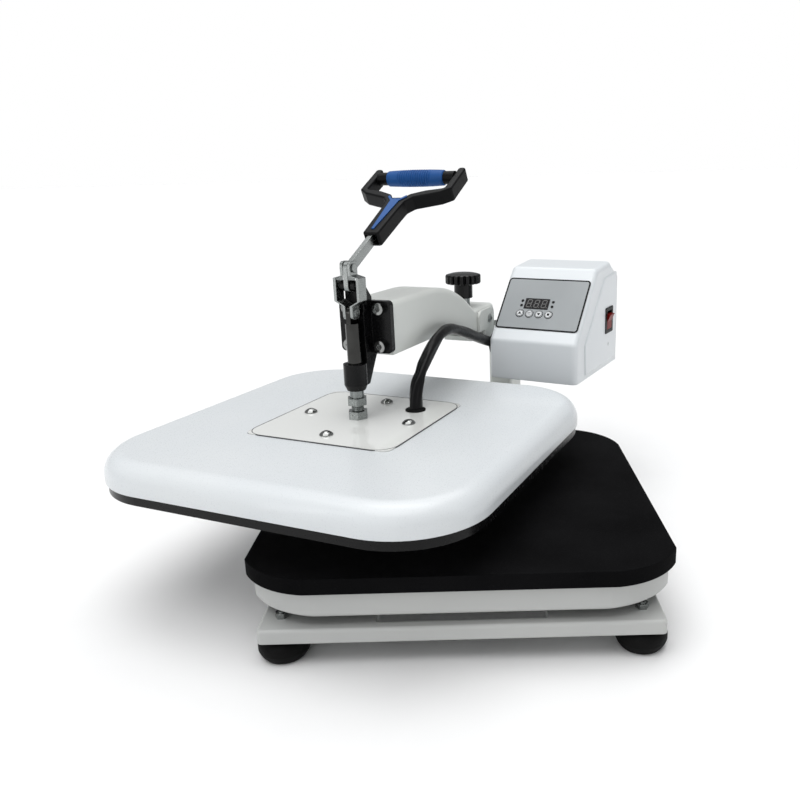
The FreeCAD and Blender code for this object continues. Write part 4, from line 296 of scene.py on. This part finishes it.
# Winding folds: how many there are round the sleeve, how far they wind along it, their depth as a share of the
# radius, and what is added to it where the sleeve is slack
FOLDS = [(3, 55, 0.03, 0.05), (5, -90, 0.02, 0.045)]

# Pinched places: how far along the sleeve, half length, depth as a share of the radius, and side
PINCHES = [(0.050, 0.008, 0.24, 0.3), (0.066, 0.007, 0.12, 1.4), (0.115, 0.010, 0.12, 0.4),
           (0.175, 0.016, 0.10, 1.9), (0.26, 0.012, 0.07, 0.2)]


def points_along(stops):
    """Points of one smooth curve that follows the stops of a route."""
    curve = bpy.data.curves.new("cable_line", "CURVE")
    curve.dimensions = "3D"
    curve.resolution_u = LINE_STEPS
    line = curve.splines.new("NURBS")
    line.points.add(len(stops) - 1)
    for made, stop in zip(line.points, stops):
        made.co = (*stop, 1)
    line.order_u = 3
    line.use_endpoint_u = True
    holder = bpy.data.objects.new("cable_line", curve)
    bpy.context.scene.collection.objects.link(holder)
    bpy.context.view_layer.update()
    drawn = bpy.data.meshes.new_from_object(holder.evaluated_get(bpy.context.evaluated_depsgraph_get()))
    bpy.data.objects.remove(holder)
    return [vertex.co.copy() for vertex in drawn.vertices]


def sleeve_radius(along, turn):
    slack = 1 / (1 + math.exp((along - SLACK_END) / SLACK_FADE))
    folds = sum((depth + more * slack) * math.cos(count * turn + winding * along)
                for count, winding, depth, more in FOLDS)
    flat = sum(depth * math.exp(-((along - place) / length) ** 2) * math.cos(turn - side) ** 2
               for place, length, depth, side in PINCHES)
    return CABLE_RADIUS * (1 + SLACK_SWELL * slack + folds - flat)


def creased_sleeve(bm):
    side = Vector((1, 0, 0))
    travelled = 0
    rows = []
    for i, point in enumerate(path):
        way = (path[min(i + 1, len(path) - 1)] - path[max(i - 1, 0)]).normalized()
        side = (side - way * side.dot(way)).normalized()
        other = way.cross(side)
        if i:
            travelled += (point - path[i - 1]).length
        row = []
        for j in range(SLEEVE_SIDES):
            turn = 2 * math.pi * j / SLEEVE_SIDES
            radius = sleeve_radius(travelled, turn)
            row.append(bm.verts.new(point + radius * (math.cos(turn) * side + math.sin(turn) * other)))
        rows.append(row)
    skin(bm, rows)


route = [ARM @ (Vector(stop) / 1000) for stop in ROUTE]
path = points_along(route)
cable = piece("cable_sleeve", mesh_from("cable_sleeve", creased_sleeve), None, "sleeve_black", ("cable",),
              smooth=True)
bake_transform(cable)

# Display: three seven-segment digits with their points, unlit, in the frame of the sloping face

PRINT_THICKNESS = 0.0001
DISPLAY_TOP = 0.00092
DIGIT_COUNT = 3
DIGIT_LEFT = 0.0392
DIGIT_PITCH = 0.0104
DIGIT_LOW = 0.0517
DIGIT_WIDTH = 0.0057
DIGIT_HEIGHT = 0.0108
DIGIT_LEAN = 0.1
BAR_HALF = 0.00055
BAR_GAP = 0.0002
POINT_OFF = 0.0018
POINT_RADIUS = 0.0007
POINT_STEPS = 16
RING_STEPS = 40


def flat_shape(bm, corners, height):
    """A thin raised patch on the sloping face."""
    skin(bm, [vertices(bm, FACE, [(x, y, z) for x, y in corners])
              for z in (height, height + PRINT_THICKNESS)])


def flat_ring(bm, x, y, inner, outer, height, steps=RING_STEPS):
    """A thin raised ring on the sloping face."""
    top = height + PRINT_THICKNESS
    hoop(bm, [vertices(bm, FACE, circle(radius, z, steps, x, y))
              for radius, z in ((inner, height), (outer, height), (outer, top), (inner, top))])


def bar(bm, x, y, length, upright):
    """One bar of a digit, pointed at both ends and leaning with the digit."""
    corners = [(BAR_GAP, 0), (BAR_HALF, BAR_HALF), (length - BAR_HALF, BAR_HALF), (length - BAR_GAP, 0),
               (length - BAR_HALF, -BAR_HALF), (BAR_HALF, -BAR_HALF)]
    if upright:
        corners = [(-b, a) for a, b in corners]
    flat_shape(bm, [(x + a + DIGIT_LEAN * (y + b - DIGIT_LOW), y + b) for a, b in corners], DISPLAY_TOP)


def digits(bm):
    half = DIGIT_HEIGHT / 2
    for i in range(DIGIT_COUNT):
        x = DIGIT_LEFT + i * DIGIT_PITCH
        for row in range(3):
            bar(bm, x, DIGIT_LOW + row * half, DIGIT_WIDTH, False)
        for row in range(2):
            for side in (0, DIGIT_WIDTH):
                bar(bm, x + side, DIGIT_LOW + row * half, half, True)
        flat_ring(bm, x + DIGIT_WIDTH + POINT_OFF, DIGIT_LOW, 0.0, POINT_RADIUS, DISPLAY_TOP, POINT_STEPS)


piece("display_digits", mesh_from("display_digits", digits), "swing", "print_black", look="digit_grey")

# Keys: a printed ring round each, and a ring with an arrow or a mark, in millimetres, on its cap

KEY_LEFT = 0.0332
KEY_PITCH = 0.0134
KEY_UP = 0.0415
KEY_TOP = 0.00162
LABEL_TOP = 0.00062
CAP_RING = (0.0038, 0.0042)
LABEL_RING = (0.0052, 0.0058)
ARROW_UP = [(-2.3, -1.3), (2.3, -1.3), (0, 2.4)]
ARROW_DOWN = [(0, -2.4), (2.3, 1.3), (-2.3, 1.3)]
UPPER_BAR = [(-2.4, 0.7), (2.4, 0.7), (2.4, 1.4), (-2.4, 1.4)]
LOWER_BAR = [(-2.4, -1.4), (2.4, -1.4), (2.4, -0.7), (-2.4, -0.7)]
SQUARE = [(-1.6, -1.6), (1.6, -1.6), (1.6, 1.6), (-1.6, 1.6)]
KEY_MARKS = [("key_mark_up", "key_1", [ARROW_UP]), ("key_mark_mode", "key_2", [UPPER_BAR, LOWER_BAR]),
             ("key_mark_down", "key_3", [ARROW_DOWN]), ("key_mark_set", "key_4", [SQUARE])]
key_places = [KEY_LEFT + KEY_PITCH * i for i in range(len(KEY_MARKS))]


def key_mark(bm, x, shapes):
    for shape in shapes:
        flat_shape(bm, [(x + a / 1000, KEY_UP + b / 1000) for a, b in shape], KEY_TOP)
    flat_ring(bm, x, KEY_UP, *CAP_RING, KEY_TOP)


def key_rings(bm):
    for x in key_places:
        flat_ring(bm, x, KEY_UP, *LABEL_RING, LABEL_TOP)


for x, (name, body, shapes) in zip(key_places, KEY_MARKS):
    piece(name, mesh_from(name, lambda bm: key_mark(bm, x, shapes)), body, "print_black")
piece("key_rings", mesh_from("key_rings", key_rings), "swing", "print_black")

# Grip: a barrel with fine ribs inside an oval field on its front

GRIP_PLACE = 0.177
GRIP_RISE = 0.0012
GRIP_HALF = 0.036
GRIP_MID = 0.0096
GRIP_END = 0.0086
GRIP_ROWS = 300
GRIP_SIDES = 72
END_LENGTH = 0.0015
END_DROP = 0.0008
RIB_PITCH = 0.0029
RIB_DEPTH = 0.0011
RIB_SHARPNESS = 4
RIB_REACH = 0.0225
RIB_SPREAD = math.radians(120)
RIB_SIDE = math.radians(136)
FIELD_BORDER = 5  # how fast the ribs fade at the border of their field


def grip_radius(along, turn):
    """The barrel's radius, less the ribs and the rounding at the ends."""
    radius = GRIP_MID - (GRIP_MID - GRIP_END) * (along / GRIP_HALF) ** 2
    off = math.sin((turn - RIB_SIDE) / 2) / math.sin(RIB_SPREAD / 2)
    field = min(1.0, max(0.0, FIELD_BORDER * (1 - (along / RIB_REACH) ** 2 - off ** 2)))
    radius -= RIB_DEPTH * field * math.cos(math.pi * along / RIB_PITCH) ** RIB_SHARPNESS
    return radius - END_DROP * max(0.0, (abs(along) - GRIP_HALF + END_LENGTH) / END_LENGTH) ** 2


def ribbed_grip(bm):
    rows = []
    for i in range(GRIP_ROWS + 1):
        x = -GRIP_HALF + 2 * GRIP_HALF * i / GRIP_ROWS
        points = []
        for j in range(GRIP_SIDES):
            turn = 2 * math.pi * j / GRIP_SIDES
            radius = grip_radius(x, turn)
            points.append((x, GRIP_PLACE + radius * math.cos(turn), GRIP_RISE + radius * math.sin(turn)))
        rows.append(vertices(bm, HANDLE, points))
    skin(bm, rows)


piece("grip_sleeve", mesh_from("grip_sleeve", ribbed_grip), "lever", "grip_blue", ("grip",), smooth=True)

# Plunger rod: the thread between its two lock nuts, and its bare steel foot above the upper nut

THREAD_LOW = 0.1670
THREAD_HIGH = 0.1736
THREAD_PITCH = 0.0013
THREAD_ROOT = 0.00605
THREAD_CREST = 0.0066
THREAD_SIDES = 32
FOOT_LOW = 0.1813
FOOT_HIGH = 0.1892
FOOT_RADIUS = 0.00735
FOOT_SIDES = 40


def rod_thread(bm):
    turns = round((THREAD_HIGH - THREAD_LOW) / THREAD_PITCH)
    profile = [(THREAD_CREST if i % 2 else THREAD_ROOT, THREAD_LOW + THREAD_PITCH * i / 2)
               for i in range(2 * turns + 1)]
    skin(bm, [vertices(bm, ARM, circle(radius, height, THREAD_SIDES)) for radius, height in profile])


def rod_foot(bm):
    skin(bm, [vertices(bm, ARM, circle(FOOT_RADIUS, height, FOOT_SIDES)) for height in (FOOT_LOW, FOOT_HIGH)])


piece("rod_thread", mesh_from("rod_thread", rod_thread), "platen", "zinc_steel")
piece("rod_foot", mesh_from("rod_foot", rod_foot), "platen", "zinc_steel")

# Pressure knob: deep flutes round a domed head on a plain neck; the profile gives radius and height

KNOB_BACK = 0.275
KNOB_RIM = 0.0234
KNOB_PROFILE = [(0.0046, 0.2452), (0.0118, 0.2452), (0.0122, 0.2458), (0.0122, 0.2622), (0.0140, 0.2640),
                (0.0224, 0.2643), (KNOB_RIM, 0.2655), (KNOB_RIM, 0.2745), (0.0226, 0.2757), (0.0200, 0.2766),
                (0.0150, 0.2778), (0.0080, 0.2786), (0.0020, 0.2789)]
FLUTES = 18
FLUTE_DEPTH = 0.0036
FLUTE_SHARPNESS = 3
FLUTE_FADE = 10  # how fast the flutes end inwards from the rim
FLUTE_STEPS = 16


def fluted_knob(bm):
    rows = []
    for reach, height in KNOB_PROFILE:
        points = []
        for j in range(FLUTES * FLUTE_STEPS):
            turn = 2 * math.pi * j / (FLUTES * FLUTE_STEPS)
            groove = (0.5 + 0.5 * math.cos(FLUTES * turn)) ** FLUTE_SHARPNESS
            radius = reach - FLUTE_DEPTH * groove * (reach / KNOB_RIM) ** FLUTE_FADE
            points.append((radius * math.cos(turn), KNOB_BACK + radius * math.sin(turn), height))
        rows.append(vertices(bm, ARM, points))
    skin(bm, rows)


piece("fluted_knob", mesh_from("fluted_knob", fluted_knob), "knob", "plastic_black", ("pressure_knob",),
      look="knob_black")

# Black web behind the fork of the clamp casting

WEB_FRONT = 0.0093
WEB_BACK = 0.0115
WEB_OUTLINE = [(-0.0122, 0.2785), (0.0122, 0.2785), (0.0122, 0.2930), (0.0092, 0.2970), (-0.0092, 0.2970),
               (-0.0122, 0.2930)]


def fork_web(bm):
    skin(bm, [vertices(bm, ARM, [(x, y, z) for x, z in WEB_OUTLINE]) for y in (WEB_FRONT, WEB_BACK)])


piece("fork_web", mesh_from("fork_web", fork_web), "arm", "cast_black")

# Painted shade: a dark grey ring in the gap round the square top plate, standing in for the shadow in that joint

SEAM_HALF = 0.08355
SEAM_WIDTH = 0.00085
SEAM_CORNER = 0.020
SEAM_OUTER_CORNER = 0.0209
SEAM_LOW = 0.1578
SEAM_HIGH = 0.1587
CORNER_STEPS = 10


def rounded_square(half, corner, height):
    points = []
    for sx, sy, start in ((1, 1, 0), (-1, 1, 90), (-1, -1, 180), (1, -1, 270)):
        for i in range(CORNER_STEPS + 1):
            turn = math.radians(start + 90 * i / CORNER_STEPS)
            points.append((sx * (half - corner) + corner * math.cos(turn),
                           sy * (half - corner) + corner * math.sin(turn), height))
    return points


def gap_shade_ring(bm):
    inner, outer = (SEAM_HALF, SEAM_CORNER), (SEAM_HALF + SEAM_WIDTH, SEAM_OUTER_CORNER)
    hoop(bm, [vertices(bm, ARM, rounded_square(half, corner, height))
              for (half, corner), height in ((inner, SEAM_LOW), (outer, SEAM_LOW), (outer, SEAM_HIGH),
                                             (inner, SEAM_HIGH))])


piece("top_plate_gap_shade", mesh_from("top_plate_gap_shade", gap_shade_ring), "platen", "print_black", look="gap_shade_grey")

# Pressed panel in the right side of the control box, with a slanting border and an opening for the switch; the
# outlines give depth and height in the box's frame

PANEL_WALL = 0.165
PANEL_SINK = 0.0002
PANEL_RISE = 0.0015
PANEL_SLANT = 0.0024
PANEL_OUTLINE = [(0.0315, 0.1492), (0.0285, 0.1895), (0.1000, 0.2655), (0.1080, 0.2680), (0.1400, 0.2700),
                 (0.1535, 0.2700), (0.1535, 0.1492)]
SWITCH_OPENING = [(0.1062, 0.1902), (0.1358, 0.1902), (0.1358, 0.2248), (0.1062, 0.2248)]


def inset(outline, amount):
    """The outline moved inwards by an amount, for a convex shape."""
    centre = sum((Vector(point) for point in outline), Vector((0, 0))) / len(outline)
    lines = []
    for a, b in zip(outline, outline[1:] + outline[:1]):
        a, b = Vector(a), Vector(b)
        across = Vector((a.y - b.y, b.x - a.x)).normalized()
        if across.dot(centre - a) < 0:
            across = -across
        lines.append((a + across * amount, (b - a).normalized()))
    corners = []
    for (p, d), (q, e) in zip(lines[-1:] + lines[:-1], lines):
        cross = d.x * e.y - d.y * e.x
        corners.append(p + d * (((q - p).x * e.y - (q - p).y * e.x) / cross))
    return [tuple(corner) for corner in corners]


def side_panel(bm):
    """The panel's outer rim lies in the wall, and its inner rim is raised."""
    low, high, hole_high, hole_low = (
        vertices(bm, BOX, [(x, y, z) for y, z in outline])
        for x, outline in ((PANEL_WALL - PANEL_SINK, PANEL_OUTLINE),
                           (PANEL_WALL + PANEL_RISE, inset(PANEL_OUTLINE, PANEL_SLANT)),
                           (PANEL_WALL + PANEL_RISE, SWITCH_OPENING), (PANEL_WALL - PANEL_SINK, SWITCH_OPENING)))
    band(bm, low, high)
    band(bm, hole_high, hole_low)
    for outer, hole in ((high, hole_high), (low, hole_low)):
        edges = [bm.edges.get((a, b)) for row in (outer, hole) for a, b in zip(row, row[1:] + row[:1])]
        bmesh.ops.triangle_fill(bm, use_beauty=True, edges=edges)


piece("side_panel_right", mesh_from("side_panel_right", side_panel), "swing", "enamel_white", look="box_white")

# Camera at the photograph's place

IMAGE = 800
FOCAL_PIXELS = 792.179
OPTIC_X, OPTIC_Y = 471.55, 399.49  # where the camera's axis meets the photograph
SENSOR = 36
CAMERA_PLACE = Vector((0.07612, -0.86231, 0.40754))
YAW = 0.001
PITCH = 0.281
ROLL = -0.026


def add_camera():
    ahead = Vector((math.sin(YAW) * math.cos(PITCH), math.cos(YAW) * math.cos(PITCH), -math.sin(PITCH)))
    level_right = Vector((math.cos(YAW), -math.sin(YAW), 0))
    level_up = level_right.cross(ahead)
    right = math.cos(ROLL) * level_right + math.sin(ROLL) * level_up
    up = -math.sin(ROLL) * level_right + math.cos(ROLL) * level_up
    lens = bpy.data.cameras.new("camera")
    lens.sensor_width = SENSOR
    lens.lens = SENSOR * (FOCAL_PIXELS / IMAGE)
    lens.shift_x = (IMAGE / 2 - OPTIC_X) / IMAGE
    lens.shift_y = (OPTIC_Y - IMAGE / 2) / IMAGE
    camera = bpy.data.objects.new("camera", lens)
    camera.matrix_world = Matrix.Translation(CAMERA_PLACE) @ Matrix((right, up, -ahead)).transposed().to_4x4()
    bpy.context.scene.collection.objects.link(camera)
    bpy.context.scene.camera = camera


add_camera()

# Floor, lamps and sky

FLOOR_SIZE = 60
# Suns: where each stands as seen from the press, its width in degrees and its strength
SUNS = {"front_light": ((-0.12, -0.12, 1.0), 60, 1.85), "low_front_light": ((-0.5, -0.9, 0.35), 50, 0.42),
        "rear_light": ((0.05, 0.45, 1.0), 50, 0.8)}
# Strips: place and power
STRIPS = {"left_strip": ((-1.25, -0.9, 0.75), 1.6), "right_strip": ((1.25, -0.55, 0.75), 0.8)}
STRIP_SIZE = (0.12, 1.3)
STRIP_TARGET = Vector((0.0, 0.0, 0.25))
SKY_COLOUR = (0.97, 0.985, 1.0, 1)
SKY_LIGHT = 0.38
SKY_SHOWN = 1.0


def add_floor():
    mesh = mesh_from("floor", lambda bm: bmesh.ops.create_grid(bm, x_segments=1, y_segments=1, size=FLOOR_SIZE))
    mesh.materials.append(materials["floor_pale"])
    made = bpy.data.objects.new("floor", mesh)
    bpy.context.scene.collection.objects.link(made)


def add_lamp(name, kind, place, way, strength):
    """A lamp that shines along its way."""
    data = bpy.data.lights.new(name, kind)
    data.energy = strength
    made = bpy.data.objects.new(name, data)
    made.location = place
    made.rotation_euler = way.to_track_quat("-Z", "Y").to_euler()
    bpy.context.scene.collection.objects.link(made)
    return data


def add_soft_sun(name, place, width, strength):
    """A wide lamp far away: even light over the whole floor."""
    add_lamp(name, "SUN", place, -Vector(place), strength).angle = math.radians(width)


def add_strip(name, place, power):
    """A tall narrow lamp that draws bright lines along polished and black pieces."""
    data = add_lamp(name, "AREA", place, STRIP_TARGET - Vector(place), power)
    data.shape = "RECTANGLE"
    data.size, data.size_y = STRIP_SIZE


def add_sky():
    """A soft sky that lights the press, behind it plain white for the camera."""
    world = bpy.data.worlds.new("sky")
    bpy.context.scene.world = world
    world.use_nodes = True
    sky = world.node_tree
    lighting = sky.nodes["Background"]
    lighting.inputs["Color"].default_value = SKY_COLOUR
    lighting.inputs["Strength"].default_value = SKY_LIGHT
    shown = sky.nodes.new("ShaderNodeBackground")
    shown.inputs["Color"].default_value = (1, 1, 1, 1)
    shown.inputs["Strength"].default_value = SKY_SHOWN
    backdrop = sky.nodes.new("ShaderNodeMixShader")
    sky.links.new(sky.nodes.new("ShaderNodeLightPath").outputs["Is Camera Ray"], backdrop.inputs["Fac"])
    sky.links.new(lighting.outputs["Background"], backdrop.inputs[1])
    sky.links.new(shown.outputs["Background"], backdrop.inputs[2])
    sky.links.new(backdrop.outputs["Shader"], sky.nodes["World Output"].inputs["Surface"])


add_floor()
for name, (place, width, strength) in SUNS.items():
    add_soft_sun(name, place, width, strength)
for name, (place, power) in STRIPS.items():
    add_strip(name, place, power)
add_sky()
bpy.context.scene.view_settings.view_transform = "Standard"
